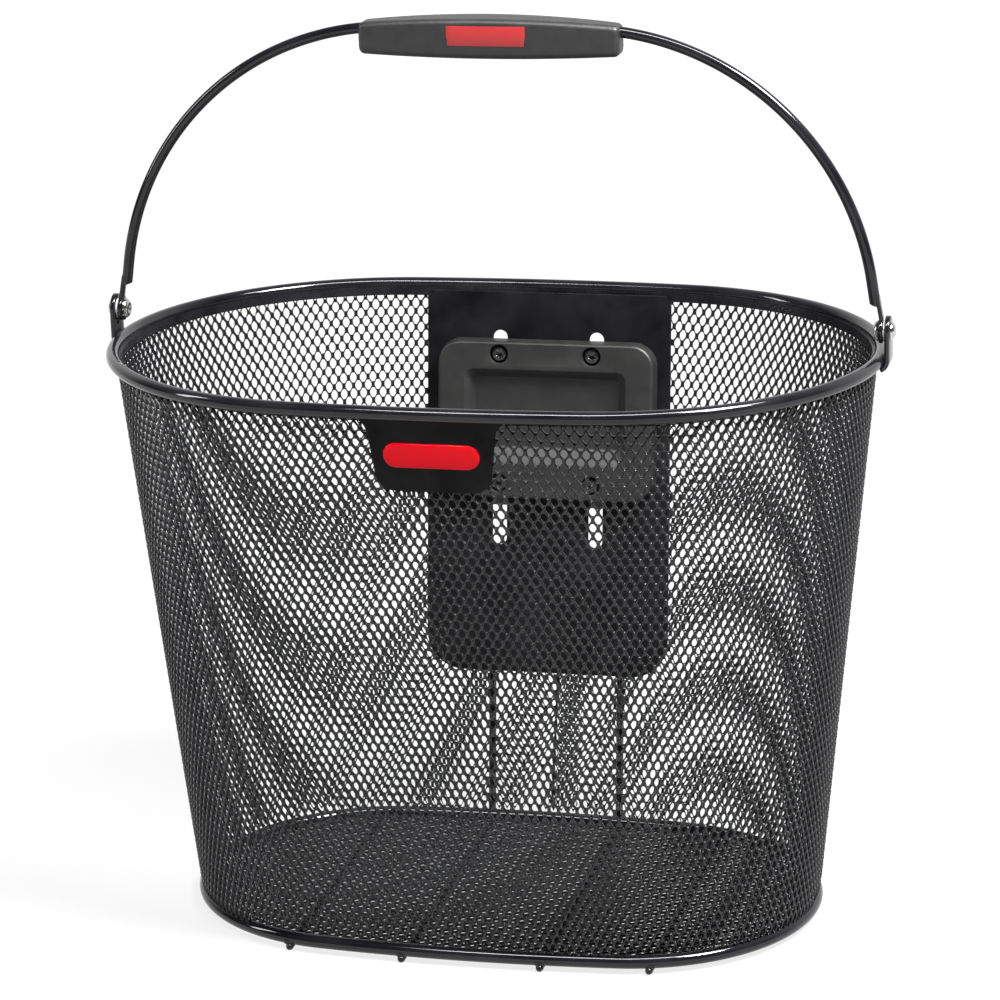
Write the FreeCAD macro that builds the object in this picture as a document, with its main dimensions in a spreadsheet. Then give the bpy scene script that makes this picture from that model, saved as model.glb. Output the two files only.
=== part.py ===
import FreeCAD, Part
import math
import os

import Sketcher

from FreeCAD import Placement, Rotation, Vector

# A wire-mesh handlebar basket: an oval expanded-metal tub between a rim tube and a base ring,
# a steel plate in its back wall that carries the quick-release coupling, and a swinging bail
# handle with a moulded grip. Millimetres. X across, -Y front, +Y towards the handlebar, +Z up.
# The origin is the centre of the base oval, on the surface that the floor wires stand on.

SIZES = {
    # the two ovals, both to the centre of their tubes: half width, half depth, end radius
    "rim_half_width": 175.0, "rim_half_depth": 120.8, "rim_end_radius": 118.5,
    "base_half_width": 145.2, "base_half_depth": 86.7, "base_end_radius": 83.8,
    "rim_height": 266.0, "base_height": 5.4, "tube_radius": 3.1,
    # expanded-metal sheet: thickness and its outer face from the tubes' centre surface
    "sheet_thick": 1.2, "wall_top_offset": -1.5, "wall_base_offset": 0.5,
    "wall_top": 264.5, "wall_foot": 7.0,
    "hem_height": 4.2, "hem_thick": 1.0, "hem_top": 265.4,
    # wires under the floor, and the two stay wires that turn up the back wall
    "wire_radius": 1.8, "outer_wire_x": 83.5, "stay_left_x": -29.5, "stay_right_x": 34.5,
    "stay_top": 96.0, "stay_bend": 9.0, "weld_depth": 0.2,
    # back plate, along its own slope
    "plate_width": 121.2, "plate_thick": 1.5, "plate_foot": 79.8, "plate_head": 264.3,
    "plate_corner": 18.0, "slot_width": 7.0, "slot_length": 34.0, "slot_half_gap": 23.7,
    "slot_upper": 229.0, "slot_lower": 158.8, "window_margin": 8.0,
    # counter plate inside the basket
    "counter_width": 109.2, "counter_height": 77.4, "counter_thick": 8.0, "counter_corner": 11.5,
    "counter_middle": 203.5, "counter_round": 2.4,
    "recess_width": 78.0, "recess_height": 45.6, "recess_lift": 1.8, "recess_depth": 4.8,
    # four bolts with their washers and nuts
    "bolt_half_gap": 22.7, "bolt_half_rise": 31.0, "bolt_lift": 0.7,
    "bolt_radius": 2.0, "bolt_hole_radius": 2.25,
    "head_radius": 3.5, "head_height": 4.0, "head_round": 0.5, "head_pocket_radius": 4.5,
    "head_pocket_depth": 5.2, "hex_key": 3.0, "hex_depth": 2.2, "washer_play": 0.15,
    "washer_radius": 4.5, "washer_thick": 0.8, "nut_flats": 7.0, "nut_height": 3.2,
    # coupling shoe behind the plate
    "shoe_width": 92.0, "shoe_height": 79.0, "shoe_lift": -3.4, "shoe_thick": 6.0, "shoe_corner": 8.0,
    "rail_width": 8.0, "rail_height": 70.0, "rail_depth": 13.0, "lip_width": 6.0,
    "lip_thick": 3.5, "catch_width": 24.0, "catch_height": 7.0, "catch_depth": 9.0,
    "nut_pocket_radius": 4.8, "nut_pocket_depth": 2.6,
    # badge plate and badge on the front
    "badge_plate_top": 61.2, "badge_plate_foot": 49.0, "badge_plate_rise": 31.5,
    "badge_plate_thick": 1.2, "badge_plate_corner": 8.0, "badge_plate_head": 262.2,
    "badge_gap": 0.4,
    "badge_length": 42.4, "badge_height": 11.2, "badge_thick": 1.6, "badge_middle": 247.2,
    # bail: outer edge of its round rod, and the flattened tongues at its ends
    "pivot_height": 278.7, "bail_top": 415.4, "bail_crown_radius": 632.0, "bail_side_radius": 131.6,
    "bail_crown_angle": 5.05, "bail_end_angle": 81.5, "rod_radius": 2.5,
    "tongue_outer_x": 176.9, "tongue_thick": 1.8, "eye_radius": 5.6, "neck_half_width": 2.5,
    "tongue_straight_top": 284.5, "bail_leg": 11.0, "tongue_lap": 3.0, "neck_height": 40.0,
    # ears, rivets and hinge washers
    "ear_inner_x": 178.0, "ear_thick": 2.2, "ear_radius": 6.75, "ear_hook_angle": 70.0,
    "rivet_radius": 2.0, "rivet_clearance": 0.05, "rivet_head_radius": 4.7, "rivet_dome": 2.3,
    "outer_head_radius": 4.0, "hinge_washer_radius": 5.0, "side_play": 0.2,
    # grip: two half shells around the rod's crown
    "grip_length": 118.6, "grip_shift": 2.0, "grip_low": 398.2, "grip_end_low": 399.4, "grip_cover": 0.7,
    "grip_half_depth": 9.4, "grip_end_half_depth": 6.2, "grip_round": 2.2, "grip_wall": 2.4,
    "grip_parting": 0.1,
    "label_length": 35.6, "label_low": 404.3, "label_height": 8.8, "label_thick": 1.0,
}

OVERSIZE = 200.0     # length of the blocks that only cut or keep part of another shape

doc = FreeCAD.newDocument("handlebar_basket")
sheet = doc.addObject("Spreadsheet::Sheet", "Sizes")
for row, (alias, number) in enumerate(SIZES.items(), start=1):
    sheet.set(f"A{row}", alias)
    sheet.set(f"B{row}", str(number))
    sheet.setAlias(f"B{row}", alias)
doc.recompute()

X_AXIS = Vector(1, 0, 0)
Y_AXIS = Vector(0, 1, 0)
Z_AXIS = Vector(0, 0, 1)
nodes = []


def size(alias):
    """One driving dimension from the sheet."""
    return float(sheet.get(alias))


def keep(thing, label):
    """Give an object its node name and put it on the list of sub-parts."""
    thing.Label = label
    nodes.append(thing)
    return thing


def feature(label, shape, placement=None):
    """A sub-part whose shape comes from Part's own functions."""
    thing = doc.addObject("Part::Feature", label)
    thing.Shape = shape
    if placement is not None:
        thing.Placement = placement
    return keep(thing, label)


def bind(thing, **expressions):
    """Bind an object's properties to the sheet: plain text is an alias or a sum of them."""
    for name, text in expressions.items():
        thing.setExpression(name, text)


# ---- the two ovals and everything that follows them ---------------------------------------

def oval_at(height):
    """Half width, half depth and end radius of the tubes' centre surface at a height."""
    share = (height - size("base_height")) / (size("rim_height") - size("base_height"))
    return tuple(
        size(f"base_{word}") + share * (size(f"rim_{word}") - size(f"base_{word}"))
        for word in ("half_width", "half_depth", "end_radius")
    )


def oval_arcs(half_width, half_depth, end_radius):
    """Centres, radii and start and sweep angles of the oval's four tangent arcs."""
    rise = half_depth - end_radius
    side_radius = (half_width ** 2 + half_depth ** 2 - 2 * half_width * end_radius) / (2 * rise)
    end_centre = half_width - end_radius
    side_centre = side_radius - half_depth
    turn = math.degrees(math.atan2(side_centre, end_centre))
    return [
        (Vector(end_centre, 0, 0), end_radius, -turn, 2 * turn),
        (Vector(0, -side_centre, 0), side_radius, turn, 180 - 2 * turn),
        (Vector(-end_centre, 0, 0), end_radius, 180 - turn, 2 * turn),
        (Vector(0, side_centre, 0), side_radius, 180 + turn, 180 - 2 * turn),
    ]


def oval_wire(height, offset):
    """The oval at a height, moved outwards by an offset."""
    half_width, half_depth, end_radius = oval_at(height)
    edges = []
    for centre, radius, start, sweep in oval_arcs(
        half_width + offset, half_depth + offset, end_radius + offset
    ):
        lifted = centre + Vector(0, 0, height)
        circle = Part.Circle(lifted, Z_AXIS, radius)
        edges.append(
            Part.Arc(circle, math.radians(start), math.radians(start + sweep)).toShape()
        )
    return Part.Wire(edges)


def oval_depth_at(x, height, offset=0.0):
    """Half depth of the oval at a place across it."""
    half_width, half_depth, end_radius = oval_at(height)
    arcs = oval_arcs(half_width, half_depth, end_radius)
    end_centre, side = arcs[0][0].x, arcs[1]
    limit = side[1] * math.cos(math.radians(side[2]))
    if abs(x) <= limit:
        return side[0].y + math.sqrt((side[1] + offset) ** 2 - x ** 2)
    return math.sqrt((end_radius + offset) ** 2 - (abs(x) - end_centre) ** 2)


def oval_tube(height):
    """A round tube bent along the oval at a height: each arc is part of a torus."""
    whole = None
    for centre, radius, start, sweep in oval_arcs(*oval_at(height)):
        lifted = centre + Vector(0, 0, height)
        start_rad = math.radians(start)
        out = Vector(math.cos(start_rad), math.sin(start_rad), 0)
        along = Z_AXIS.cross(out)
        disc = Part.Face(Part.Wire(Part.makeCircle(size("tube_radius"), lifted + out * radius, along)))
        piece = disc.revolve(lifted, Z_AXIS, sweep)
        whole = piece if whole is None else whole.fuse(piece)
    return whole.removeSplitter()


def tapered_band(low, low_offset, high, high_offset, thickness):
    """A closed strip of sheet that follows the oval's taper, its outer face at the offsets."""
    outside = Part.makeLoft([oval_wire(low, low_offset), oval_wire(high, high_offset)], True, True)
    inside = Part.makeLoft(
        [oval_wire(low, low_offset - thickness), oval_wire(high, high_offset - thickness)],
        True, True,
    )
    return outside.cut(inside)


# ---- the sloping frame of the plate in the back wall ---------------------------------------

SLOPE = math.degrees(math.atan2(
    size("rim_half_depth") - size("base_half_depth"), size("rim_height") - size("base_height")
))


def plate_face_y():
    """Where the back plate's outer face stands at the rim's height: its edges touch the hem."""
    hem_inside = size("wall_top_offset") - size("sheet_thick") - size("hem_thick")
    return oval_depth_at(size("plate_width") / 2, size("rim_height"), hem_inside)


def on_back(height):
    """Placement on the back plate's inner face at a height: local Y points out of the basket."""
    fall = size("rim_height") - height
    slope = math.radians(SLOPE)
    inner = plate_face_y() - size("plate_thick") / math.cos(slope) - fall * math.tan(slope)
    return Placement(Vector(0, inner, height), Rotation(X_AXIS, -SLOPE))


def along_slope(rise):
    """A height difference measured along the sloping plate."""
    return rise / math.cos(math.radians(SLOPE))


def plane_of(body, role):
    return next(item for item in body.Origin.OriginFeatures if item.Role == role)


def new_sketch(body, name, role="XZ_Plane"):
    sketch = body.newObject("Sketcher::SketchObject", name)
    sketch.AttachmentSupport = (plane_of(body, role), "")
    sketch.MapMode = "FlatFace"
    return sketch


def add_rectangle(sketch, width, height, lift=None, shift=None):
    """A rectangle in a sketch, its centre at the origin or moved by expressions on the sheet.

    It is drawn at a starting size and place; its constraints take it to the sheet's values."""
    half_wide, half_high = 9, 5
    first_line = sketch.GeometryCount
    middle = Vector(60 if shift else 0, 30 if lift else 0, 0)
    corners = [
        middle + Vector(x * half_wide, y * half_high, 0) for x, y in ((-1, -1), (1, -1), (1, 1), (-1, 1))
    ]
    for start, end in zip(corners, corners[1:] + corners[:1]):
        sketch.addGeometry(Part.LineSegment(start, end), False)
    lines = [first_line + index for index in range(4)]
    for line, following in zip(lines, lines[1:] + lines[:1]):
        sketch.addConstraint(Sketcher.Constraint("Coincident", line, 2, following, 1))
    for line, kind in zip(lines, ("Horizontal", "Vertical", "Horizontal", "Vertical")):
        sketch.addConstraint(Sketcher.Constraint(kind, line))
    wide = sketch.addConstraint(Sketcher.Constraint("DistanceX", lines[0], 1, lines[0], 2, 2 * half_wide))
    high = sketch.addConstraint(Sketcher.Constraint("DistanceY", lines[1], 1, lines[1], 2, 2 * half_high))
    sketch.setExpression(f"Constraints[{wide}]", width)
    sketch.setExpression(f"Constraints[{high}]", height)
    if not lift and not shift:
        sketch.addConstraint(Sketcher.Constraint("Symmetric", lines[0], 1, lines[2], 1, -1, 1))
        return
    across = sketch.addConstraint(Sketcher.Constraint("DistanceX", -1, 1, lines[0], 2, middle.x + half_wide))
    upward = sketch.addConstraint(Sketcher.Constraint("DistanceY", -1, 1, lines[2], 1, middle.y + half_high))
    sketch.setExpression(f"Constraints[{across}]", f"({shift or '0'}) + ({width}) / 2")
    sketch.setExpression(f"Constraints[{upward}]", f"({lift or '0'}) + ({height}) / 2")


def pad(body, name, sketch, length, outward=True):
    """Pad a sketch of the XZ plane along local +Y, or along -Y where outward is False."""
    thing = body.newObject("PartDesign::Pad", name)
    thing.Profile = sketch
    thing.Reversed = outward
    thing.setExpression("Length", length)
    sketch.Visibility = False
    doc.recompute()
    return thing


def pocket(body, name, sketch, depth, outward=True, taper=None):
    """Cut a sketch of the XZ plane along local +Y (or -Y), and check that it cut something."""
    before = body.Shape.Volume
    thing = body.newObject("PartDesign::Pocket", name)
    thing.Profile = sketch
    thing.Reversed = not outward
    thing.setExpression("Length", depth)
    if taper:
        thing.TaperAngle = taper
    doc.recompute()
    if body.Shape.Volume > before - 0.5:
        raise RuntimeError(f"{name} cut nothing")
    return thing


def edges_along(shape, direction, at_least=0.0, where=lambda middle: True):
    """Names of a shape's straight edges that run along a direction."""
    found = []
    for index, edge in enumerate(shape.Edges, start=1):
        if not isinstance(edge.Curve, Part.Line) or edge.Length < at_least:
            continue
        if abs(edge.tangentAt(edge.FirstParameter).dot(direction)) > 0.999:
            if where(edge.CenterOfMass):
                found.append(f"Edge{index}")
    return found


def fillet(body, name, base, edges, radius):
    thing = body.newObject("PartDesign::Fillet", name)
    thing.Base = (base, edges)
    thing.setExpression("Radius", radius)
    doc.recompute()
    return thing


TO_LOCAL_Y = Rotation(X_AXIS, -90)     # turns a primitive's Z axis to +Y
TO_X = Rotation(Y_AXIS, 90)            # turns a primitive's Z axis to +X


# ---- the welded tub ---------------------------------------------------------------------

def build_tubes():
    feature("rim_tube", oval_tube(size("rim_height")))
    feature("base_ring", oval_tube(size("base_height")))


def build_hem_band():
    offset = size("wall_top_offset") - size("sheet_thick")
    top = size("hem_top")
    feature("rim_hem_band", tapered_band(
        top - size("hem_height"), offset, top, offset, size("hem_thick")
    ))


def build_wall():
    """The tapered mesh wall, with the window that the back plate covers."""
    wall = tapered_band(
        size("wall_foot"), size("wall_base_offset"), size("wall_top"), size("wall_top_offset"),
        size("sheet_thick"),
    )
    width = size("plate_width") - 2 * size("window_margin")
    foot = size("stay_top") + size("window_margin") / 2
    head = size("plate_head") - size("window_margin")
    window = Part.makeBox(
        width, size("rim_half_depth"), head - foot, Vector(-width / 2, size("base_half_depth") / 2, foot)
    )
    feature("wall_mesh", wall.cut(window))


def build_floor():
    low = 2 * size("wire_radius") - size("weld_depth")
    outline = oval_wire(size("base_height"), -size("tube_radius") + size("weld_depth"))
    outline.translate(Vector(0, 0, low - size("base_height")))
    feature("floor_mesh", Part.Face(outline).extrude(Vector(0, 0, size("sheet_thick"))))


def build_floor_wires():
    """Two straight wires under the floor, from the ring's front edge to its back edge."""
    for side, word in ((-1, "left"), (1, "right")):
        x = side * size("outer_wire_x")
        reach = oval_depth_at(x, size("base_height")) + size("tube_radius")
        wire = doc.addObject("Part::Cylinder", f"floor_wire_{word}")
        bind(wire, Radius="Sizes.wire_radius")
        wire.Height = 2 * reach
        wire.Placement = Placement(Vector(x, -reach, size("wire_radius")), TO_LOCAL_Y)
        keep(wire, f"floor_wire_{word}")


def build_stay_wires():
    """Two wires that run under the floor, round the back of the ring and up the back wall."""
    radius = size("wire_radius")
    bend = size("stay_bend")
    for word in ("left", "right"):
        x = size(f"stay_{word}_x")
        front = -oval_depth_at(x, size("base_height")) - size("tube_radius")
        reach = size("wall_base_offset") + radius - size("weld_depth")
        slope = math.radians(SLOPE)
        # the sloping run passes through this point, just outside the mesh above the ring
        clear = size("base_height") + 3 * size("tube_radius")
        on_wall = Vector(x, oval_depth_at(x, clear) + reach, clear)
        rise = Vector(0, math.sin(slope), math.cos(slope))
        corner = on_wall - rise * ((clear - radius) / rise.z)
        # the ring stands between: the corner moves back until the wire only touches the ring
        behind_ring = oval_depth_at(x, size("base_height")) + size("tube_radius") + radius
        corner.y = max(corner.y, behind_ring - size("weld_depth") - size("base_height") * math.tan(slope))
        tangent = bend * math.tan(math.radians(90 - SLOPE) / 2)
        start = Vector(x, front, radius)
        arc_in = corner - Y_AXIS * tangent
        arc_out = corner + rise * tangent
        centre = arc_in + Z_AXIS * bend
        arc_mid = centre + (corner - centre).normalize() * bend
        top = corner + rise * ((size("stay_top") - radius) / rise.z)
        path = Part.Wire([
            Part.LineSegment(start, arc_in).toShape(),
            Part.Arc(arc_in, arc_mid, arc_out).toShape(),
            Part.LineSegment(arc_out, top).toShape(),
        ])
        section = Part.Wire(Part.makeCircle(radius, start, Y_AXIS))
        feature(f"stay_wire_{word}", path.makePipeShell([section], True, True))


# ---- back plate and coupling ------------------------------------------------------------

def build_back_plate():
    """The steel plate: its local origin is the middle of its inner face, at its mid height."""
    foot, head = size("plate_foot"), size("plate_head")
    middle = (foot + head) / 2
    body = doc.addObject("PartDesign::Body", "back_plate")
    outline = new_sketch(body, "back_plate_outline")
    add_rectangle(outline, "Sizes.plate_width", f"{along_slope(head - foot)}")
    sheet_pad = pad(body, "back_plate_sheet", outline, "Sizes.plate_thick")
    low_corners = edges_along(sheet_pad.Shape, Y_AXIS, where=lambda middle: middle.z < 0)
    fillet(body, "back_plate_corners", sheet_pad, low_corners, "Sizes.plate_corner")
    slots = new_sketch(body, "back_plate_slots")
    for height in ("slot_upper", "slot_lower"):
        lift = along_slope(size(height) - middle)
        straight = size("slot_length") - size("slot_width")
        for side in (-1, 1):
            add_slot(slots, side * size("slot_half_gap"), lift, straight, size("slot_width") / 2)
    pocket(body, "back_plate_slot_cut", slots, "Sizes.plate_thick + 1")
    body.Placement = on_back(middle)
    keep(body, "back_plate")


def add_slot(sketch, x, z, straight, radius):
    """An upright slot: two straight sides joined by half circles."""
    low, high = z - straight / 2, z + straight / 2
    sketch.addGeometry(Part.LineSegment(Vector(x + radius, low, 0), Vector(x + radius, high, 0)), False)
    sketch.addGeometry(Part.ArcOfCircle(Part.Circle(Vector(x, high, 0), Z_AXIS, radius), 0, math.pi), False)
    sketch.addGeometry(Part.LineSegment(Vector(x - radius, high, 0), Vector(x - radius, low, 0)), False)
    sketch.addGeometry(
        Part.ArcOfCircle(Part.Circle(Vector(x, low, 0), Z_AXIS, radius), math.pi, 2 * math.pi), False
    )


def bolt_spots():
    """The bolts' axes on the sloping plate, from the counter plate's middle."""
    return [
        (x * size("bolt_half_gap"), along_slope(size("bolt_lift") + z * size("bolt_half_rise")))
        for z in (1, -1) for x in (-1, 1)
    ]


def signed_circles(sketch, radius):
    """Four circles on the bolts' axes, placed by the sheet."""
    for x, z in bolt_spots():
        circle = sketch.addGeometry(Part.Circle(Vector(x, z, 0), Z_AXIS, 3), False)
        bound = sketch.addConstraint(Sketcher.Constraint("Radius", circle, 3))
        sketch.setExpression(f"Constraints[{bound}]", radius)
        sketch.addConstraint(Sketcher.Constraint("DistanceX", -1, 1, circle, 3, x))
        sketch.addConstraint(Sketcher.Constraint("DistanceY", -1, 1, circle, 3, z))


RECESS_TAPER = -40     # degrees: the recess narrows towards its floor


def build_counter_plate():
    """The plastic plate inside the basket that the bolts pull against the back plate."""
    body = doc.addObject("PartDesign::Body", "counter_plate")
    outline = new_sketch(body, "counter_outline")
    add_rectangle(outline, "Sizes.counter_width", "Sizes.counter_height")
    block = pad(body, "counter_block", outline, "Sizes.counter_thick", outward=False)
    corners = edges_along(block.Shape, Y_AXIS)
    rounded = fillet(body, "counter_corners", block, corners, "Sizes.counter_corner")
    thick = size("counter_thick")
    front_edges = [
        f"Edge{index}" for index, edge in enumerate(rounded.Shape.Edges, start=1)
        if abs(edge.CenterOfMass.y + thick) < 0.01
    ]
    fillet(body, "counter_front_round", rounded, front_edges, "Sizes.counter_round")
    front = new_sketch(body, "counter_recess_outline")
    front.AttachmentOffset = Placement(Vector(0, 0, thick), Rotation())
    add_rectangle(front, "Sizes.recess_width", "Sizes.recess_height", lift="Sizes.recess_lift")
    pocket(body, "counter_recess", front, "Sizes.recess_depth", taper=RECESS_TAPER)
    holes = new_sketch(body, "counter_holes")
    signed_circles(holes, "Sizes.bolt_hole_radius")
    pocket(body, "counter_hole_cut", holes, "Sizes.counter_thick + 1", outward=False)
    heads = new_sketch(body, "counter_head_pockets")
    heads.AttachmentOffset = Placement(Vector(0, 0, thick), Rotation())
    signed_circles(heads, "Sizes.head_pocket_radius")
    pocket(body, "counter_head_cut", heads, "Sizes.head_pocket_depth")
    body.Placement = on_back(size("counter_middle"))
    keep(body, "counter_plate")


def build_coupling_shoe():
    """The outer half of the coupling: two lipped rails and a catch, in one moulding."""
    body = doc.addObject("PartDesign::Body", "coupling_shoe")
    thick = size("shoe_thick")
    rail_x = (size("shoe_width") - size("rail_width")) / 2
    lip_x = (size("shoe_width") - size("lip_width")) / 2 - size("rail_width") / 2

    outline = new_sketch(body, "shoe_outline")
    add_rectangle(outline, "Sizes.shoe_width", "Sizes.shoe_height", lift="Sizes.shoe_lift")
    base = pad(body, "shoe_base", outline, "Sizes.shoe_thick")
    fillet(body, "shoe_corners", base, edges_along(base.Shape, Y_AXIS), "Sizes.shoe_corner")

    rails = new_sketch(body, "shoe_rails_outline")
    rails.AttachmentOffset = Placement(Vector(0, 0, -thick), Rotation())
    for side in (-1, 1):
        add_rectangle(rails, "Sizes.rail_width", "Sizes.rail_height", shift=f"{side * rail_x}")
    pad(body, "shoe_rails", rails, "Sizes.rail_depth")

    lips = new_sketch(body, "shoe_lips_outline")
    lips.AttachmentOffset = Placement(
        Vector(0, 0, -thick - size("rail_depth") + size("lip_thick")), Rotation()
    )
    for side in (-1, 1):
        add_rectangle(
            lips, "Sizes.lip_width + Sizes.rail_width / 2", "Sizes.rail_height",
            shift=f"{side * (lip_x - size('rail_width') / 4)}",
        )
    pad(body, "shoe_lips", lips, "Sizes.lip_thick")

    catch = new_sketch(body, "shoe_catch_outline")
    catch.AttachmentOffset = Placement(Vector(0, 0, -thick), Rotation())
    catch_lift = -(size("rail_height") - size("catch_height")) / 2
    add_rectangle(catch, "Sizes.catch_width", "Sizes.catch_height", lift=f"{catch_lift}")
    pad(body, "shoe_catch", catch, "Sizes.catch_depth")

    holes = new_sketch(body, "shoe_holes")
    signed_circles(holes, "Sizes.bolt_hole_radius")
    pocket(body, "shoe_hole_cut", holes, "Sizes.shoe_thick + 1")
    nuts = new_sketch(body, "shoe_nut_pockets")
    nuts.AttachmentOffset = Placement(
        Vector(0, 0, -thick + size("nut_pocket_depth")), Rotation()
    )
    signed_circles(nuts, "Sizes.nut_pocket_radius")
    pocket(body, "shoe_nut_cut", nuts, "Sizes.nut_pocket_depth + 1")
    place = on_back(size("counter_middle"))
    body.Placement = place * Placement(Vector(0, size("plate_thick"), 0), Rotation())
    keep(body, "coupling_shoe")


def fastener_group(label, make_one, local_y):
    """Four copies of one fastener on the bolts' axes, in one node as separate solids."""
    place = on_back(size("counter_middle"))
    solids = []
    for x, z in bolt_spots():
        one = make_one()
        spot = place * Placement(Vector(x, local_y, z), TO_LOCAL_Y)
        one.transformShape(spot.toMatrix(), True)
        solids.append(one)
    feature(label, Part.makeCompound(solids))


def hexagon(flats, height, low):
    """A six-sided block: its width across flats, its height and where it starts."""
    corner = flats / math.sqrt(3)
    points = [
        Vector(corner * math.cos(math.radians(60 * k)), corner * math.sin(math.radians(60 * k)), low)
        for k in range(7)
    ]
    return Part.Face(Part.makePolygon(points)).extrude(Vector(0, 0, height))


def cap_bolt():
    """A socket cap bolt, its head's seat at local z = 0 and its shank along +Z."""
    reach = sum(size(alias) for alias in (
        "counter_thick", "plate_thick", "shoe_thick", "washer_thick", "nut_height"
    )) - size("nut_pocket_depth")
    head = Part.makeCylinder(size("head_radius"), size("head_height"), Vector(0, 0, -size("head_height")))
    top_edge = [
        edge for edge in head.Edges
        if isinstance(edge.Curve, Part.Circle) and edge.CenterOfMass.z < -size("head_height") / 2
    ]
    head = head.makeFillet(size("head_round"), top_edge)
    socket = hexagon(size("hex_key"), size("hex_depth"), -size("head_height"))
    shank = Part.makeCylinder(size("bolt_radius"), reach, Vector(0, 0, -size("head_round")))
    return head.fuse(shank).cut(socket).removeSplitter()


def washer():
    """A flat washer on the XY plane."""
    ring = Part.makeCylinder(size("washer_radius"), size("washer_thick"))
    return ring.cut(Part.makeCylinder(size("bolt_radius") + size("washer_play"), size("washer_thick")))


def nut():
    """A plain hexagon nut on the XY plane."""
    block = hexagon(size("nut_flats"), size("nut_height"), 0)
    return block.cut(Part.makeCylinder(size("bolt_radius"), size("nut_height")))


def build_fasteners():
    """The bolts' seat and the washers' seat, from the back plate's inner face."""
    seat = -size("counter_thick") + size("head_pocket_depth")
    behind = size("plate_thick") + size("shoe_thick") - size("nut_pocket_depth")
    fastener_group("coupling_bolts", cap_bolt, seat)
    fastener_group("coupling_washers", washer, behind)
    fastener_group("coupling_nuts", nut, behind + size("washer_thick"))


# ---- badge --------------------------------------------------------------------------------

def on_front(height, gap):
    """Placement on the front wall's outer face: local -Y points out of the basket."""
    slope = math.radians(SLOPE)
    offset = size("wall_top_offset") + gap / math.cos(slope)
    y = -oval_at(height)[1] - offset
    return Placement(Vector(0, y, height), Rotation(X_AXIS, SLOPE))


def build_badge_plate():
    """A folded steel tab that hangs from the rim: wider at its top, rounded at its foot."""
    rise = along_slope(size("badge_plate_rise"))
    top, foot = size("badge_plate_top") / 2, size("badge_plate_foot") / 2
    corners = [Vector(-foot, 0, -rise), Vector(foot, 0, -rise), Vector(top, 0, 0), Vector(-top, 0, 0)]
    face = Part.Face(Part.makePolygon(corners + corners[:1]))
    block = face.extrude(Vector(0, -size("badge_plate_thick"), 0))
    low_corners = [
        edge for edge in block.Edges
        if abs(edge.tangentAt(edge.FirstParameter).y) > 0.999 and edge.CenterOfMass.z < -1
    ]
    block = block.makeFillet(size("badge_plate_corner"), low_corners)
    feature("badge_plate", block, on_front(size("badge_plate_head"), size("badge_gap")))


def build_badge():
    """A domed plastic badge with round ends, left blank."""
    radius = size("badge_height") / 2
    half = size("badge_length") / 2 - radius
    left, right = Vector(-half, 0, 0), Vector(half, 0, 0)
    outline = Part.Wire([
        Part.LineSegment(left - Z_AXIS * radius, right - Z_AXIS * radius).toShape(),
        Part.Arc(right - Z_AXIS * radius, right + X_AXIS * radius, right + Z_AXIS * radius).toShape(),
        Part.LineSegment(right + Z_AXIS * radius, left + Z_AXIS * radius).toShape(),
        Part.Arc(left + Z_AXIS * radius, left - X_AXIS * radius, left - Z_AXIS * radius).toShape(),
    ])
    block = Part.Face(outline).extrude(Vector(0, -size("badge_thick"), 0))
    face_edges = [edge for edge in block.Edges if edge.CenterOfMass.y < -size("badge_thick") * 0.9]
    block = block.makeFillet(size("badge_thick") * 0.5, face_edges)
    gap = size("badge_gap") + size("badge_plate_thick")
    feature("badge", block, on_front(size("badge_middle"), gap))


# ---- hinges -------------------------------------------------------------------------------

def build_ears():
    """Each ear stands outside the rim tube, hooks under it and carries the rivet."""
    inner, thick = size("ear_inner_x"), size("ear_thick")
    radius, tube = size("ear_radius"), size("tube_radius")
    rim_x, rim_z = size("rim_half_width"), size("rim_height")
    hug = inner - rim_x
    hook, over = size("ear_hook_angle"), size("pivot_height") + radius + thick
    block = radius + size("tube_radius") * 2
    for side, word in ((-1, "left"), (1, "right")):
        profile = Part.Wire([
            Part.LineSegment(Vector(inner, 0, rim_z), Vector(inner, 0, over)).toShape(),
            Part.LineSegment(Vector(inner, 0, over), Vector(inner + thick, 0, over)).toShape(),
            Part.LineSegment(Vector(inner + thick, 0, over), Vector(inner + thick, 0, rim_z)).toShape(),
            hook_arc(rim_x, rim_z, hug + thick, 0, -hook),
            Part.LineSegment(
                arc_point(rim_x, rim_z, hug + thick, -hook), arc_point(rim_x, rim_z, hug, -hook)
            ).toShape(),
            hook_arc(rim_x, rim_z, hug, -hook, 0),
        ])
        strap = Part.Face(profile).extrude(Vector(0, 2 * radius, 0))
        strap.translate(Vector(0, -radius, 0))
        low = rim_z - tube - 2 * thick
        pivot = Vector(inner - block, 0, size("pivot_height"))
        upright = Part.makeBox(
            2 * block, 2 * radius, size("pivot_height") - low, Vector(inner - block, -radius, low)
        )
        crown = Part.makeCylinder(radius, 2 * block, pivot, X_AXIS)
        strap = strap.common(upright.fuse(crown))
        strap = strap.cut(Part.makeCylinder(size("rivet_radius"), 2 * block, pivot, X_AXIS))
        feature(f"ear_{word}", strap if side > 0 else strap.mirror(Vector(), X_AXIS))


def arc_point(x, z, radius, angle):
    """A point on a circle in the XZ plane, its angle in degrees from +X."""
    turn = math.radians(angle)
    return Vector(x + radius * math.cos(turn), 0, z + radius * math.sin(turn))


def hook_arc(x, z, radius, first, last):
    """An arc in the XZ plane between two angles."""
    return Part.Arc(
        arc_point(x, z, radius, first), arc_point(x, z, radius, (first + last) / 2),
        arc_point(x, z, radius, last),
    ).toShape()


def dome(radius, rise):
    """A shallow dome on the XY plane: the cap of a sphere."""
    ball_radius = (radius ** 2 + rise ** 2) / (2 * rise)
    ball = Part.makeSphere(ball_radius, Vector(0, 0, rise - ball_radius))
    return ball.common(Part.makeCylinder(2 * radius, rise))


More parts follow.
